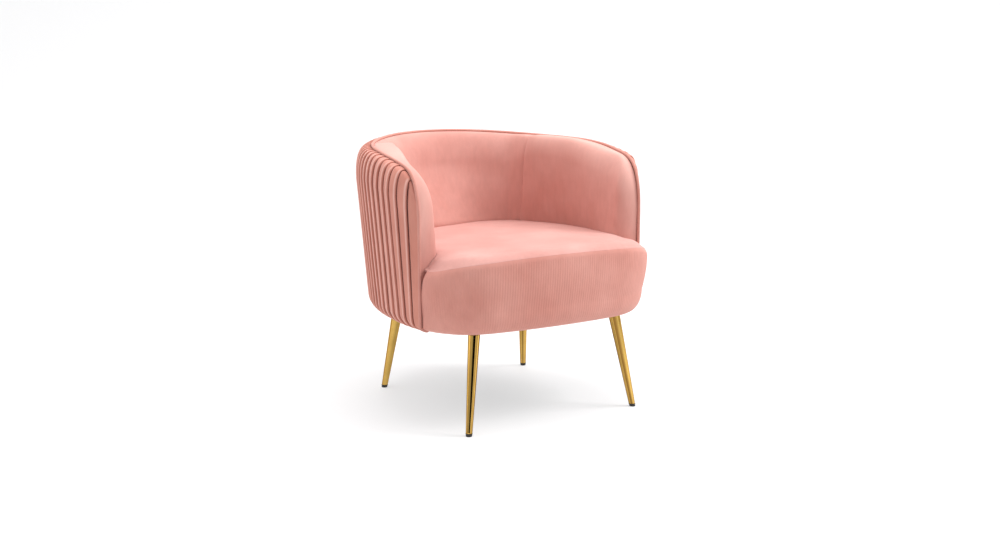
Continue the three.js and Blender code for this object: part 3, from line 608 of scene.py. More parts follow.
def pad_section(s, v):
    """Offset and height of the inside pad: v 0 to 1 over the crown, to 2 down to its lower edge."""
    front, top = wall_front(s), wall_top(s)
    crown_out, depth, rise, fall = crown_at(front)
    nose = np.sqrt(1 - (1 - clip01(front / NOSE_LENGTH)) ** 2)
    x, y = station(s)[:2]
    seat_depth = PAD_LOW_BACK * np.maximum(0, 1 - (x / PAD_LOW_SPAN) ** 2) * (y > 0)
    crown_z = top + (rise - PAD_EDGE_DROP) * nose
    face_z = top - fall
    up = clip01(v / PAD_CROWN_END) * math.pi / 2
    down = share01(v, PAD_CROWN_END, 1) * math.pi / 2
    wall_z = mix(face_z, PAD_BOTTOM_Z, clip01(v - 1))
    low = share01(wall_z, face_z, SEAT_JOIN_Z)
    tilt = (PAD_DEPTH - depth) / (face_z - SEAT_JOIN_Z)
    fallen = (crown_z - face_z) * (1 - np.cos(down))
    rolled = mix(crown_out, depth - tilt * (crown_z - face_z), np.sin(down)) + tilt * fallen
    out = np.where(v < PAD_CROWN_END, crown_out * (1 - np.cos(up)), rolled)
    out = np.where(v > 1, mix(depth, PAD_DEPTH, low) + seat_depth * low ** PAD_LOW_POWER, out)
    z = np.where(v < PAD_CROWN_END, crown_z - rise * nose * (1 - np.sin(up)), crown_z - fallen)
    z = np.where(v > 1, wall_z, z)
    return -PAD_EDGE - out * nose, z


def section_grid(section, v, s):
    """Points of a section function at rows v and columns s; s may differ from row to row."""
    vv, ss = np.broadcast_arrays(np.asarray(v)[:, None], np.atleast_2d(s))
    out, z = section(ss, vv)
    return place(ss, out, z)


def corner_stops(count, upto):
    """Distances from the arm front that follow the rounded corner evenly."""
    angle = np.linspace(0, math.pi / 2, count)
    stops = CORNER_RUN * (1 - np.cos(angle) ** (2 / CORNER_POWER))
    return stops[stops < upto]


def surface_normal(points):
    """Unit directions out of a grid's surface."""
    return unit(np.cross(np.gradient(points, axis=1), np.gradient(points, axis=0)))


# ---- Outer cover: knife pleats ----

# One pleat's profile in mm, from its deep crevice towards the back: (distance, height). The lip overhangs.
PLEAT_PROFILE = [
    (0.0, -9.5), (-0.8, -7.0), (-1.8, -3.9), (-2.2, -0.9), (-1.6, 1.4), (0.2, 2.7), (2.4, 2.9), (5.5, 2.4),
    (9.5, 1.4), (14.0, 0.3), (18.5, -0.9), (22.0, -2.0), (24.2, -3.4), (25.6, -5.8),
]
CREVICE_SHADE_FULL = -4.6 * MM  # below this height the crevice gets the full painted shade
CREVICE_SHADE_END = -2.2 * MM
HIGHLIGHT_START = 2.4 * MM  # above this height the folded edge gets a painted highlight; its opened pile is also paler
HIGHLIGHT_FULL = 2.75 * MM
PANEL_SINK = 6.5 * MM  # the plain panel in front of the first pleat sinks to its crevice
PANEL_SINK_RUN = 9 * MM
PLEAT_STEP = 1.5 * MM
PLEAT_AT_RIM = 0.28  # share of the pleat's height where it leaves the piping
PLEAT_UNDER = 0.6  # and where it is drawn in under the base
PLEAT_VARIETY = 0.13
PLEAT_SWAY = 1.1 * MM
PLEAT_PUFF = 0.5 * MM
PLEAT_END_RUN = 12 * MM
COVER_TUCK = np.array([0, 0, -5 * MM])
COVER_HEM = np.array([0, 0, 2.5 * MM])
COVER_THICKNESS = 13 * MM


def pleat_columns():
    """Place along the rim, sideways shift, height and pleat number of each column of the outer cover."""
    half = RIM_LENGTH / 2
    pitches = round((half - PLEAT_FIRST) / PLEAT_PITCH)
    starts = PLEAT_FIRST + np.arange(pitches) * (half - PLEAT_FIRST) / pitches
    across, up = (np.array(PLEAT_PROFILE) * MM).T
    # the left half: the plain first panel, then the pleats, up to the middle of the back
    panel = CORD_GAP + corner_stops(60, PLEAT_FIRST - CORD_GAP - PLEAT_STEP)
    near = share01(panel, PLEAT_FIRST - PANEL_SINK_RUN, PLEAT_FIRST)
    base = join([panel, (starts[:, None] + np.maximum(across, 0)).ravel()])
    shift = join([0 * panel, np.tile(np.minimum(across, 0), pitches)])
    height = join([-0.5 * MM - PANEL_SINK * near ** 1.8, np.tile(up, pitches)])
    number = join([0 * panel - 1, np.repeat(np.arange(pitches), len(up))])
    # the middle crevice closes the left half; the right half mirrors it
    columns = join([base, [half], (RIM_LENGTH - base)[::-1]])
    shift = join([shift, [0], -shift[::-1]])
    height = join([height, up[:1], height[::-1]])
    number = join([number, [pitches], (2 * pitches - number)[::-1]])
    return columns, shift, height, number


def cover_back_section(s, v):
    """The hidden inner face of the outer cover."""
    out, z = outer_section(s, v)
    thin_edge = np.sin(math.pi / 2 * np.minimum(1, v / 0.7)) ** 2
    out = out - COVER_THICKNESS * thin_edge - 0.5 * MM
    return out, z + np.where(v < 2, -8 * MM, 3 * MM + 6 * MM * clip01(v - 2))


def build_outer_cover():
    columns, shift, height, number = pleat_columns()
    shoulder = np.linspace(0, 1, 22) ** 1.5
    rows = join([shoulder[:-1], np.linspace(1, 2, 22)[:-1], np.linspace(2, 3, 18)])
    surface = section_grid(outer_section, rows, columns)
    # neighbours in a pleat can share a column, so the direction along the rim comes from a step either way
    ahead = section_grid(outer_section, rows, np.minimum(columns + PLEAT_STEP, RIM_LENGTH - CORD_GAP))
    behind = section_grid(outer_section, rows, np.maximum(columns - PLEAT_STEP, CORD_GAP))
    along = unit(ahead - behind)
    normal = unit(np.cross(np.gradient(surface, axis=0), along))
    # the normals point outwards, on the shoulder also upwards, and under the base downwards
    upward = np.where(rows > 2, -1.0, 0.3)[:, None, None] * normal[..., 2:]
    normal *= np.sign((normal * outward_at(columns)).sum(-1, keepdims=True) + upward + 1e-9)

    level = rows[:, None]
    strength = 1 + PLEAT_VARIETY * waves(3, number * 0.37, level * 0.2, 1.0)
    strength = strength * mix(PLEAT_AT_RIM, 1.0, smooth01(level / 0.5))
    strength = strength * mix(1.0, PLEAT_UNDER, smooth01((level - 2.2) / 0.8))
    near_end = clip01((np.minimum(columns, RIM_LENGTH - columns) - CORD_GAP) / PLEAT_END_RUN)
    sway = PLEAT_SWAY * waves(5, number * 0.31, level * 0.45, 1.0) * smooth01(level / 0.6) * (number >= 0)
    puff = PLEAT_PUFF * waves(11, columns * 9, level, 1.0) * smooth01(level / 0.4)
    raised = (height * strength + puff) * near_end
    points = surface + normal * raised[..., None] + along * (shift * strength + sway * near_end)[..., None]
    # the edge by the piping tucks straight down into the seam
    points = join([(points[0] + COVER_TUCK)[None], points, (points[-1] + COVER_HEM)[None]])

    back_rows = np.array([0.12, 0.35, 0.65, 1.0, 1.5, 2.0, 2.35, 2.7, 3.0])
    verts, faces = closed_sheet(points, section_grid(cover_back_section, back_rows, columns))
    obj = make_object("pleated_outer_cover", verts, faces, PLEATED_SHADED)
    # painted shade: darker down in each crevice, under the lips, and along the tuck by the piping
    painted_shade = share01(height * strength, CREVICE_SHADE_FULL, CREVICE_SHADE_END)
    painted_shade = join([painted_shade[:1] * 0.4, painted_shade * mix(0.55, 1.0, clip01(level / 0.06)), painted_shade[-1:]])
    set_attribute(obj, "painted_shade", painted_shade)
    # painted highlight along the top of each pleat lip, where the opened pile is also paler
    painted_highlight = share01(height, HIGHLIGHT_START, HIGHLIGHT_FULL) * smooth01(level / 0.3)
    set_attribute(obj, "painted_highlight", join([0 * painted_highlight[:1], painted_highlight, 0 * painted_highlight[:1]]), rest=0.0)
    finish_piece(obj, ("outer_back_cover", "outer_wadding"))


# ---- Piping ----

CORD_STEP = 3.0 * MM
CORD_SIDES = 16
CORD_TIP = 5 * MM


def tube(line, radius, sides, start=0):
    """A tube's points and faces, its rings carried along the line without twist; radius may vary along it."""
    tangent = unit(np.gradient(line, axis=0))
    side = np.zeros_like(line)
    side[0] = unit(np.cross(tangent[0], [0.0, 1.0, 0.02]))
    for i in range(1, len(line)):
        side[i] = unit(side[i - 1] - tangent[i] * (side[i - 1] @ tangent[i]))
    other = np.cross(tangent, side)
    angle = np.linspace(0, 2 * math.pi, sides, endpoint=False)[None, :, None]
    ring = side[:, None] * np.cos(angle) + other[:, None] * np.sin(angle)
    rings = line[:, None] + ring * np.broadcast_to(radius, len(line))[:, None, None]
    return rings.reshape(-1, 3), tube_faces(len(line), sides, start)


def rim_line():
    """The piping's line: from under the left arm's front up, over the rim, and down the right arm's front."""
    corner = corner_stops(120, math.inf)
    run = join([corner, np.linspace(CORNER_RUN, RIM_LENGTH / 2, 400)[1:]])
    rim = place(run, 0 * run, rim_height(run, run))
    start = rim[0]
    out, z = outer_section(np.zeros(30), np.linspace(CORD_END_TURN, 2, 30))
    curl = np.stack([start[0] - np.minimum(out, 0), np.full(30, start[1]), z], -1)
    upright = np.linspace(curl[-1], start, 60)[1:-1]
    left = join([curl, upright, rim])
    return join([left, left[-2::-1] * [-1, 1, 1]])


def build_piping():
    line, along = even_line(rim_line(), CORD_STEP)
    ends = clip01(np.minimum(along, along[-1] - along) / CORD_TIP)
    swell = 1 + 0.018 * np.sin(along / (9 * MM)) + 0.02 * waves(21, along, 0 * along, 0.045)
    radius = 0.98 * CORD_RADIUS * np.sqrt(mix(0.35, 1.0, ends)) * swell
    obj = make_object("rim_piping_cord", *tube(line, radius, CORD_SIDES), PIPING)
    set_attribute(obj, "painted_shade", [])
    finish_piece(obj, ("rim_piping",))


# ---- Inside pads ----

# The seams between inside back and inside arms lean towards the middle of the back as they go down.
PANEL_SEAM = 420 * MM
PANEL_SEAM_LEAN = 20 * MM
PANEL_SEAM_REACH = 110 * MM
SEAM_DEPTH = 0.3 * MM
SEAM_WIDTH = 3.0 * MM
SEAM_VALLEY = 8.5 * MM
SEAM_VALLEY_WIDTH = 24 * MM
SEAM_GAP = 0.05 * MM  # half the slit between two panels
SEAM_STOPS = (0.15, 0.8, 2, 4, 7, 11)  # mm either side of a seam that get a column of their own
PAD_BULGE = 2.5 * MM
PAD_WAVE = 0.7 * MM


def lean_with_seams(s, v):
    lean = PANEL_SEAM_LEAN * (v - 1)
    near_left = np.exp(-((s - PANEL_SEAM) / PANEL_SEAM_REACH) ** 2)
    near_right = np.exp(-((RIM_LENGTH - PANEL_SEAM - s) / PANEL_SEAM_REACH) ** 2)
    return s + lean * (near_left - near_right)


def build_pad(name, s_from, s_to, nodes):
    seams = [s for s in (PANEL_SEAM, RIM_LENGTH - PANEL_SEAM) if abs(s - s_from) < MM or abs(s - s_to) < MM]
    nose = NOSE_LENGTH * (1 - np.cos(np.linspace(0, math.pi / 2, 16)))
    left = join([corner_stops(46, CORNER_RUN), nose]) + CORD_GAP
    middle = np.arange(CORNER_RUN + CORD_GAP, RIM_LENGTH - CORNER_RUN - CORD_GAP, 7 * MM)
    near = [seam + side * stop * MM for seam in seams for side in (-1, 1) for stop in SEAM_STOPS]
    s = np.unique(np.round(join([left, middle, RIM_LENGTH - left, near, [s_from, s_to]]), 5))
    s = s[(s >= s_from - 1e-6) & (s <= s_to + 1e-6)]
    v = join([np.linspace(0, PAD_CROWN_END, 14)[:-1], np.linspace(PAD_CROWN_END, 1, 26)[:-1],
              np.linspace(1, 2, 46)])

    def leaning_grid(rows):
        level, reach = np.meshgrid(rows, s, indexing="ij")
        leaning = lean_with_seams(reach, level)
        return level, reach, leaning, section_grid(pad_section, rows, leaning)

    level, reach, leaning, points = leaning_grid(v)
    normal = surface_normal(points)
    inward = [0, 0, 0.6] - outward_at(leaning)
    normal *= np.sign((normal * inward).sum(-1, keepdims=True) + 1e-9)
    body = smooth01(wall_front(reach) / (40 * MM)) * smooth01(level / 0.5)
    bulge = PAD_BULGE * np.sin(math.pi * clip01((level - 0.5) / 1.4)) ** 2
    ripple = PAD_WAVE * waves(31, points[..., 0] + points[..., 1], points[..., 2], 0.16)
    raised = (bulge + ripple) * body
    # the seam's valley fades out towards the seat
    valley = SEAM_VALLEY * body * (1 - 0.85 * smooth01((level - 1.3) / 0.5))
    for seam in seams:
        gap = np.abs(reach - seam)
        raised = raised - SEAM_DEPTH * np.exp(-gap / SEAM_WIDTH) - valley * np.exp(-gap / SEAM_VALLEY_WIDTH)
    face = points + normal * raised[..., None]
    face[..., 1] -= NOSE_FORWARD * clip01(1 - wall_front(reach) / NOSE_FORWARD_RUN) ** 2

    back_level, _, leaning, back = leaning_grid(np.array([0.1, 0.5, 1.0, 1.5, 2.0]))
    room = np.maximum(0, -pad_section(leaning, back_level)[0] - CORD_GAP)
    back += outward_at(leaning) * np.minimum(PAD_BACKING, room * 0.55)[..., None]
    back[..., 2] -= 10 * MM * (back_level < 1)
    obj = make_object(name, *closed_sheet(face, back), VELVET)
    # painted shade along the pad's top, in the groove by the piping
    set_attribute(obj, "painted_shade", 0.45 + 0.55 * clip01(level / 0.11))
    # painted highlight on the pad's crown, stronger on the arms than on the back: the tops lit from above
    arm = smooth01((PANEL_SEAM - np.minimum(reach, RIM_LENGTH - reach)) / (60 * MM))
    set_attribute(obj, "painted_highlight", mix(0.10, 0.55, arm) * (1 - smooth01((level - 0.45) / 0.9)), rest=0.0)
    finish_piece(obj, nodes)


# ---- Seat ----


def bow_y(x):
    return FRONT_MIDDLE_Y + FRONT_BOW * (x / FRONT_HALF_WIDTH) ** 2


def front_line(count):
    """The seat's front line from the left side to the right side, evenly spaced, with outward directions."""
    slope = 2 * FRONT_BOW * FRONT_FLAT / FRONT_HALF_WIDTH ** 2
    start = np.array([FRONT_HALF_WIDTH, FRONT_SIDE_Y])
    end = np.array([FRONT_FLAT, bow_y(FRONT_FLAT)])
    reach = BEZIER_ARC * (start - end)
    first, second = start - [0, reach[1]], end + [reach[0], slope * reach[0]]
    t = np.linspace(0, 1, 200)[:, None]
    corner = (1 - t) ** 3 * start + 3 * (1 - t) ** 2 * t * first + 3 * (1 - t) * t * t * second + t ** 3 * end
    bow_x = np.linspace(FRONT_FLAT, -FRONT_FLAT, 300)[1:-1]
    bow = np.stack([bow_x, bow_y(bow_x)], -1)
    points, at = resample(join([corner, bow, corner[::-1] * [-1, 1]])[::-1], count)
    run = unit(np.gradient(points, axis=0))
    return points, np.stack([run[:, 1], -run[:, 0]], -1), at


def seam_allowance(edge, out):
    """The edge of the cloth that runs on inwards behind a seam."""
    return (edge - np.pad(out * SEAM_ALLOWANCE, ((0, 0), (0, 1))))[None]


def seam_z(x):
    share = clip01(np.abs(x) / FRONT_HALF_WIDTH)
    return SEAM_MIDDLE_Z - SEAM_SIDE_FALL * share ** 2 - SEAM_END_FALL * share ** SEAM_END_POWER


def edge_roll(x, sizes):
    """A size of the rolled edge at the seam: the first along the front, the second round the corners."""
    return mix(*sizes, clip01(np.abs(x) / FRONT_HALF_WIDTH) ** SEAM_END_POWER)


def end_tuck(along):
    """How far the front line's two ends turn inwards, beside the piping."""
    share = 1 - clip01(np.minimum(along, along[-1] - along) / END_TUCK_RUN)
    return -END_TUCK * (1 - np.sqrt(1 - share ** 2))


def band_section(v, y, top):
    """Offset and height of the band: v 0 to 1 down from the seam, to 2 round under."""
    near_end = clip01((y - FRONT_SIDE_Y) / BAND_END_RUN + 1)
    taper = mix(BAND_TAPER, BAND_TAPER_END, near_end)
    turn_z = mix(BAND_TURN_Z, TAPER_END_Z, near_end)
    turn = clip01(v - 1) * math.pi / 2
    curl = 1 - np.cos(turn)
    down = clip01(v)
    under = mix(BAND_TURN * curl, np.maximum(0, UNDERSIDE_TURN * curl - TAPER_END_OUT), near_end)
    out = BAND_BULGE * np.sin(math.pi * down) - taper * down ** 1.5 - under
    return out, mix(top, turn_z, down) - (turn_z - BAND_BOTTOM_Z) * np.sin(turn)


def build_band():
    points, out, along = front_line(661)
    end = along[-1]
    tuck = end_tuck(along)
    # past its two ends the band runs on a little way behind the piping
    run_on = np.array([12, 8, 4]) * MM
    behind = np.stack([0 * run_on, run_on], -1)
    points = join([points[0] + behind, points, points[-1] + behind[::-1]])
    out = np.pad(out, ((3, 3), (0, 0)), "edge")
    along = join([-run_on, along, end + run_on[::-1]])
    tuck = np.pad(tuck, 3, constant_values=tuck[0] - HIDDEN_TUCK)
    x, y = points.T

    rows = join([BAND_FINE * np.linspace(0, 1, 12)[:-1] ** 2, np.linspace(BAND_FINE, 1, 34)[:-1],
                 np.linspace(1, 2, 20)])
    top = seam_z(x) - SEAM_SLIT
    offset, z = band_section(rows[:, None], y, top)
    below = top - z
    # the upper edge rolls softly into the seam; fine upright ribs start below it
    roll = edge_roll(x, EDGE_ROLL) * (1 - clip01(below / edge_roll(x, EDGE_ROLL_LENGTH))) ** 2
    ribs = RIB_HEIGHT * np.cos(2 * math.pi * along / RIB_PITCH) * smooth01(below / RIB_START)
    cloth = 0.45 * MM * waves(41, along, z, 0.22) * smooth01(below / (20 * MM))
    pinch = BAND_PINCH * np.exp(-((z - BAND_PINCH_Z) / BAND_PINCH_HEIGHT) ** 2)
    pinch = pinch * (1 - clip01(np.minimum(along, end - along) / BAND_PINCH_RUN)) ** 2
    held = smooth01((z - END_TUCK_FROM_Z) / END_TUCK_RISE)

    def place_at(shift, height):
        return np.stack([x + out[:, 0] * shift, y + out[:, 1] * shift, height + 0 * shift], -1)

    face = place_at(offset - roll + ribs + cloth - pinch + tuck * held, z)
    face = join([seam_allowance(face[0], out), face, (face[-1] + [0, 0, 2 * MM])[None]])
    back_v = np.array([0.05, 0.5, 1.0, 1.5, 2.0])[:, None]
    back_offset, back_z = band_section(back_v, y, top)
    turned = np.sin(clip01(back_v - 1) * math.pi / 2)
    back = place_at(back_offset + tuck - BAND_THICKNESS * (1 - turned), back_z + 6 * MM * turned)
    obj = make_object("seat_front_band", *closed_sheet(face, back), RIBBED)
    # painted shade: a slight darkening right at the seam, and darker on the hidden seam allowance
    seam_shade = 1 - 0.05 * np.exp(-below / (0.6 * MM))
    set_attribute(obj, "painted_shade", join([0.3 + 0 * below[:1], seam_shade, 1 + 0 * below[:1]]))
    finish_piece(obj, ("front_band_cover", "front_wadding"))


def seat_back_line(count):
    """Where the seat meets the arms and back, from the left arm's nose round to the right arm's nose."""
    s = np.linspace(CORD_GAP + 0.5 * MM, RIM_LENGTH - CORD_GAP - 0.5 * MM, 4000)
    out, _ = pad_section(s, 0 * s + 1.9)
    return resample(place(s, out, 0 * s)[:, :2], count)[0]


def nearest(plan, line, values):
    """Distance from each plan point to a line, and the line's value there."""
    gap = np.linalg.norm(plan[..., None, :] - line, axis=-1)
    return gap.min(-1), values[gap.argmin(-1)]


def wing_drop(x, y):
    """The seat's two wings, in front of the arms, fall away to their outer ends."""
    outward = share01(np.abs(x), WING_START, FRONT_HALF_WIDTH)
    return WING_DROP * outward ** WING_POWER * smooth01((WING_BACK_Y - y) / WING_RUN)


def seat_join_z(x, y):
    """Height at which the seat meets the arms and back; it is well sat in, so the left rear is lower."""
    behind = smooth01((y - 50 * MM) / (150 * MM))
    sat_in = SEAT_LEAN * smooth01((SEAT_LEAN_X - x) / (200 * MM)) * mix(0.5, 1.0, behind)
    return SEAT_JOIN_Z - sat_in - wing_drop(x, y)


def seat_crown_z(x, y):
    sides = SEAT_CROWN_FALL * (x / (270 * MM)) ** 2
    rear = SEAT_CROWN_FALL * np.clip((y + 80 * MM) / (270 * MM), 0, None) ** 2
    behind = smooth01((y + 150 * MM) / (250 * MM))
    sat_in = 0.65 * SEAT_LEAN * smooth01((SEAT_LEAN_X - x) / (300 * MM)) * behind
    return SEAT_CROWN_Z - sides - rear - sat_in - wing_drop(x, y)


def quarter_fall(distance, length):
    return 1 - np.sqrt(1 - (1 - clip01(distance / length)) ** 2)


def build_seat():
    line, out, along = front_line(SEAT_COLUMNS)
    front = line + out * (end_tuck(along) - edge_roll(line[:, 0], EDGE_ROLL))[:, None]
    back = seat_back_line(SEAT_COLUMNS)

    def plan_at(shares):
        return front + (back - front) * shares[:, None, None]

    v = join([SEAT_EDGE_ROWS * np.linspace(0, 1, 24)[:-1] ** 1.6,
              np.linspace(SEAT_EDGE_ROWS, 1 - SEAT_EDGE_ROWS, 70)[:-1],
              1 - SEAT_EDGE_ROWS * np.linspace(1, 0, 20) ** 1.4])
    plan = plan_at(v)
    x, y = plan[..., 0], plan[..., 1]
    from_front, edge = nearest(plan, front, seam_z(line[:, 0]) + SEAM_SLIT)
    from_back, join_z = nearest(plan, back, seat_join_z(*back.T))
    crown = np.maximum(seat_crown_z(x, y), edge + 2 * MM)
    to_edge = (1 - clip01(from_front / FRONT_ROLL)) ** FRONT_ROLL_POWER
    to_join = quarter_fall(from_back, BACK_ROLL)
    both = np.maximum(1, to_edge + to_join)
    z = crown - (crown - edge) * to_edge / both - (crown - join_z) * to_join / both
    middle = smooth01(from_front / CLOTH_WAVE_FADE) * smooth01(from_back / CLOTH_WAVE_FADE)
    z = z + 0.9 * MM * waves(51, x, y, 0.21) * middle
    face = np.stack([x, y, z], -1)
    # the front edge runs on behind its seam, the rear edge goes down between the pads and the foam
    face = join([seam_allowance(face[0], out), face, (face[-1] - [0, 0, 14 * MM])[None]])
    under = np.pad(plan_at(np.linspace(0.03, 1, 9)), ((0, 0), (0, 0), (0, 1)), constant_values=SEAT_UNDER_Z)
    obj = make_object("seat_top_pad", *closed_sheet(face, under), SEAT_VELVET_LIT)
    # painted shade: darker at the front seam and down in the crease where the seat meets the arms and back
    painted_shade = clip01(0.95 + from_front / (4 * MM)) * clip01(0.15 + from_back / (7 * MM))
    set_attribute(obj, "painted_shade", join([painted_shade[:1] * 0.4, painted_shade, painted_shade[-1:] * 0.4]))
    finish_piece(obj, ("seat_top_cover", "seat_foam"))


# ---- Legs ----

LEG_TOP_RADIUS = 15 * MM
LEG_FOOT_RADIUS = 8 * MM
LEG_WALL = 1.5 * MM
LEG_LIP = 0.7 * MM
LEG_SIDES = 72
CAP_SIDES = 48
CAP_HEIGHT = 7 * MM
CORNERS = ("front_left", "front_right", "rear_left", "rear_right")


def leg_axis(corner):
    """Foot centre and top centre of a leg, from its CAD boxes."""
    cap, tube_box = (np.array(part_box(f"{part}_{corner}")) for part in ("foot_cap", "leg"))
    side = np.sign(tube_box.sum(0))
    foot = side * (np.abs(cap).max(0) - LEG_FOOT_RADIUS)
    top = side * (np.abs(tube_box).min(0) + LEG_TOP_RADIUS)
    return np.array([*foot[:2], 0.0]), np.array([*top[:2], tube_box[1, 2]])


def leg_ring(foot, top, z, radius, sides):
    """A level ring round the leaning axis, longer the way it leans, so that the tube is round."""
    centre = foot + (top - foot) * (z / top[2])
    lean = (top - foot)[:2]
    stretch = math.sqrt(1 + (lean @ lean) / top[2] ** 2)
    lean = unit(lean)
    angle = np.linspace(0, 2 * math.pi, sides, endpoint=False)
    a, b = radius * stretch * np.cos(angle), radius * np.sin(angle)
    return np.stack([centre[0] + a * lean[0] - b * lean[1], centre[1] + a * lean[1] + b * lean[0],
                     np.full(sides, z)], -1)


def stack_object(name, rings, material, loop=False):
    """A solid from stacked rings: a loop is open inside, like a tube, and anything else is capped."""
    count, sides = len(rings), len(rings[0])
    return make_object(name, join(rings), tube_faces(count, sides, loop=loop), material)


def build_leg(corner):
    foot, top = leg_axis(corner)
    low, high = CAP_HEIGHT + 0.4 * MM, top[2]

    def radius(z):
        return mix(LEG_FOOT_RADIUS, LEG_TOP_RADIUS, z / high)

    # up the outside, then down the bore; the lower edge is rolled in
    outer = [(low, -LEG_LIP), (low + 0.25 * LEG_LIP, -0.3 * LEG_LIP), (low + LEG_LIP, 0)]
    outer += [(z, 0.0) for z in np.linspace(low + 3 * MM, high - 2 * MM, 26)]
    outer += [(high - 0.6 * MM, 0.0), (high, -0.5 * MM)]
    outer += [(z, -LEG_WALL) for z in (high, mix(low, high, 0.5), low)]
    rings = [leg_ring(foot, top, z, radius(z) + shift, LEG_SIDES) for z, shift in outer]
    leg = stack_object(f"gold_leg_{corner}", rings, GOLD, loop=True)
    angle = np.linspace(0, 2 * math.pi, LEG_SIDES, endpoint=False)
    set_attribute(leg, "round_x", np.tile(np.cos(angle), len(rings)))
    set_attribute(leg, "round_y", np.tile(np.sin(angle), len(rings)))
    set_attribute(leg, "leg", [], rest=1.7 * CORNERS.index(corner))
    finish_piece(leg, (f"leg_{corner}",))

    # the cap: a rounded foot, a collar that covers the tube's edge, and a plug in the bore
    r, h, bore = LEG_FOOT_RADIUS, CAP_HEIGHT, radius(low) - LEG_WALL - 0.5 * MM
    shape = [(0.0, r * 0.86), (0.25 * MM, r * 0.94), (0.9 * MM, r * 0.99), (2.0 * MM, r),
             (h - 1.2 * MM, r + 0.1 * MM), (h - 0.9 * MM, r + 0.7 * MM), (h - 0.2 * MM, r + 0.7 * MM),
             (h, r + 0.4 * MM), (h, bore), (h + 16 * MM, bore), (h + 17 * MM, bore - 1 * MM)]
    rings = [leg_ring(foot, top, z, size, CAP_SIDES) for z, size in shape]
    cap = stack_object(f"foot_glide_{corner}", rings, BLACK_PLASTIC)
    finish_piece(cap, (f"foot_cap_{corner}",))


# ---- Underside ----

DUST_INSET_BACK = 42 * MM
DUST_INSET_FRONT = 62 * MM
DUST_CENTRE = np.array([0, -0.05])
DUST_SAG = 2.2 * MM
CLOTH_THICKNESS = 0.7 * MM
STAPLE_PITCH = 45 * MM
STAPLE_HALF = 5 * MM
STAPLE_WIRE = 0.45 * MM


def build_dust_cover():
    """Black dust cloth: stretched under the base, sagging a little, held by staples round its edge."""
    base_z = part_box("dust_cover")[0].z
    s = np.linspace(30 * MM, RIM_LENGTH - 30 * MM, 160)
    back = place(s, 0 * s - DUST_INSET_BACK, 0 * s)[:, :2]
    points, out, _ = front_line(120)
    front = (points - out * DUST_INSET_FRONT)[6:-6]
    outline = join([front, back[::-1]])
    rings = []
    for share in (1.0, 0.985, 0.965, *np.linspace(0.93, 0.04, 26)):
        p = DUST_CENTRE + (outline - DUST_CENTRE) * share
        sag = DUST_SAG * (1 - share ** 2) + 0.5 * MM * waves(61, *p.T, 0.16) * (1 - share ** 6)
        rings.append(np.column_stack([p, base_z + 0.9 * MM - sag]))
    count = len(outline)
    verts = join([*rings, [[*DUST_CENTRE, base_z - 1.3 * MM]]])
    hub, last = len(verts) - 1, (len(rings) - 1) * count
    faces = [*grid_faces(len(rings), count, ring=True)]
    faces += [(last + k, last + (k + 1) % count, hub) for k in range(count)]
    obj = make_object("dust_cloth", verts, faces, NON_WOVEN)
    thick = obj.modifiers.new("cloth", "SOLIDIFY")
    thick.thickness = CLOTH_THICKNESS
    thick.offset = 0
    finish_piece(obj, ("dust_cover",))
    build_staples(rings[2])


def build_staples(ring):
    """Wire staples along a closed ring, a little proud of the cloth, their legs going up into the base."""
    line, _ = even_line(join([ring, ring[:1]]), STAPLE_PITCH)
    points, faces = [], []
    for p, along in zip(line[:-1], unit(np.gradient(line, axis=0))):
        wire = [p + along * side * STAPLE_HALF + [0, 0, rise]
                for side, rise in ((-1, 2 * MM), (-1, -0.7 * MM), (1, -0.7 * MM), (1, 2 * MM))]
        wire_points, wire_faces = tube(np.array(wire), STAPLE_WIRE, 6, len(points))
        points += list(wire_points)
        faces += wire_faces
    staples = make_object("dust_cloth_staples", points, faces, STEEL)
    finish_piece(staples)


# ---- Build ----

build_outer_cover()
build_piping()
build_pad("inside_arm_pad_left", CORD_GAP, PANEL_SEAM - SEAM_GAP, ("inside_arm_left_cover", "arm_left_foam"))
build_pad("inside_back_pad", PANEL_SEAM + SEAM_GAP, RIM_LENGTH - PANEL_SEAM - SEAM_GAP,
          ("inside_back_cover", "back_foam"))
build_pad("inside_arm_pad_right", RIM_LENGTH - PANEL_SEAM + SEAM_GAP, RIM_LENGTH - CORD_GAP,
          ("inside_arm_right_cover", "arm_right_foam"))
build_band()
build_seat()
for corner in CORNERS:
    build_leg(corner)
build_dust_cover()

LOOKS = (
    (TIMBER, ("back_top_rail", "arm_front_post", "arm_rear_post", "back_post", "seat_front_rail",
              "seat_side_rail", "seat_rear_rail", "base_panel")),
    (FIBREBOARD, "outer_back_board"),
    (WEBBING, "seat_webbing"),
    (STEEL, ("leg_stud", "leg_plate")),
)
for node_name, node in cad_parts.items():
    for look, first_words in LOOKS:
        if node_name.startswith(first_words):
            for slot in node.material_slots:
                slot.material = look

# ---- Floor and light ----

FLOOR_COLOUR = (0.46, 0.46, 0.465)
FLOOR_GLOW = 0.48  # a lit table keeps the chair's shadow pale
SWEEP_HALF_WIDTH, SWEEP_NEAR, SWEEP_FAR, SWEEP_HEIGHT, SWEEP_CURVE = 9.0, -7.0, 3.2, 5.0, 1.2
LIGHT_AIM = Vector((0, 0, 0.4))
# The room's light from below and from overhead, then soft panels laid over it: azimuth from the camera's own,
# elevation, where the panel starts and stops to fade (all in degrees), and its brightness.
ROOM_BELOW, ROOM_OVERHEAD = 0.36, 1.10
OVERHEAD = (0, 90, 35, 95)
PANELS = (
    (105, 0, 12, 42, 0.2),
    (62, 30, 18, 50, 1.2),
    (-64, 42, 10, 52, 1.32),
    (-80, 3, 7, 17, 2.8),
    (12, 16, 21, 29, 0.003),
)


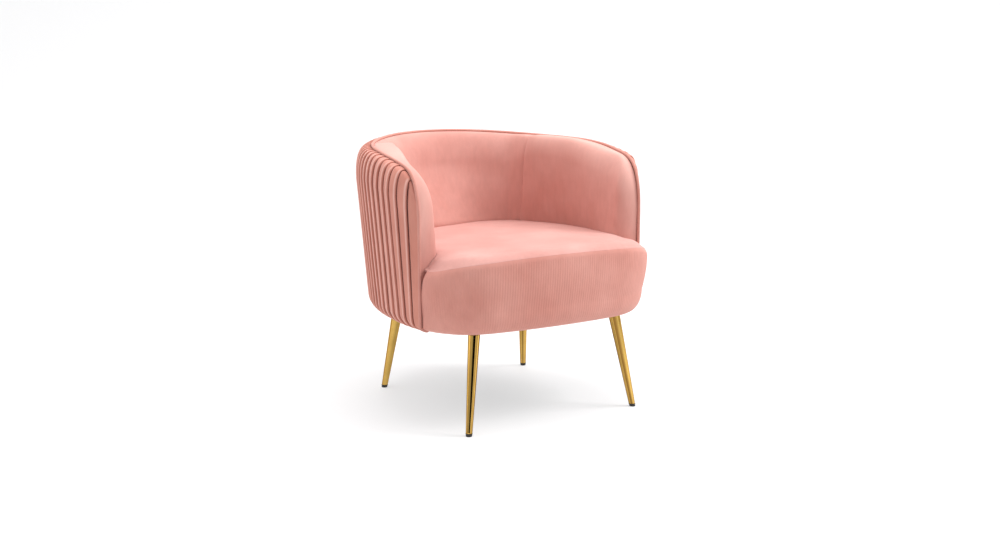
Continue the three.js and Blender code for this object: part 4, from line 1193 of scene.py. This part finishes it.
def build_floor():
    """A pale floor that curves up into a wall behind the chair."""
    look = Nodes("studio_floor").finish(Base_Color=FLOOR_COLOUR, Roughness=0.7, Emission_Color=1.0,
                                        Emission_Strength=FLOOR_GLOW)
    bend = np.linspace(0, math.pi / 2, 14)
    profile = [(SWEEP_NEAR, 0.0)]
    profile += [(SWEEP_FAR - SWEEP_CURVE * (1 - math.sin(a)), SWEEP_CURVE * (1 - math.cos(a))) for a in bend]
    profile.append((SWEEP_FAR, SWEEP_HEIGHT))
    points = [(side * SWEEP_HALF_WIDTH, y, z) for y, z in profile for side in (-1, 1)]
    faces = [(2 * i, 2 * i + 1, 2 * i + 3, 2 * i + 2) for i in range(len(profile) - 1)]
    floor = make_object("studio_sweep", points, faces, look)
    floor.rotation_euler = (0, 0, CAMERA_AZIMUTH)


def build_room():
    world = bpy.data.worlds.new("studio")
    bpy.context.scene.world = world
    world.use_nodes = True
    tree = world.node_tree
    direction = tree.nodes.new("ShaderNodeTexCoord").outputs["Generated"]

    def toward(azimuth, elevation, start, stop):
        """1 in the directions round a bearing, falling to 0."""
        dot = tree.nodes.new("ShaderNodeVectorMath")
        dot.operation = "DOT_PRODUCT"
        tree.links.new(direction, dot.inputs[0])
        dot.inputs[1].default_value = bearing(CAMERA_AZIMUTH + math.radians(azimuth), math.radians(elevation))
        share = tree.nodes.new("ShaderNodeMapRange")
        share.interpolation_type = "SMOOTHSTEP"
        tree.links.new(dot.outputs["Value"], share.inputs["Value"])
        share.inputs["From Min"].default_value = math.cos(math.radians(stop))
        share.inputs["From Max"].default_value = math.cos(math.radians(start))
        return share.outputs["Result"]

    room = mix_node(tree, "MIX", toward(*OVERHEAD), ROOM_BELOW, ROOM_OVERHEAD)
    for *panel, brightness in PANELS:
        room = mix_node(tree, "MIX", toward(*panel), room, brightness)
    background = tree.nodes["Background"]
    background.inputs["Strength"].default_value = 1.0
    tree.links.new(room, background.inputs["Color"])


def area_light(name, location, size, power):
    data = bpy.data.lights.new(name, "AREA")
    data.shape = "RECTANGLE"
    data.size, data.size_y, data.energy = size, size, power
    aimed_object(name, data, location, LIGHT_AIM)


build_floor()
build_room()
area_light("key", (2.35, -1.45, 2.7), size=1.4, power=80)
area_light("top", (0.1, 0.1, 2.8), size=1.8, power=40)
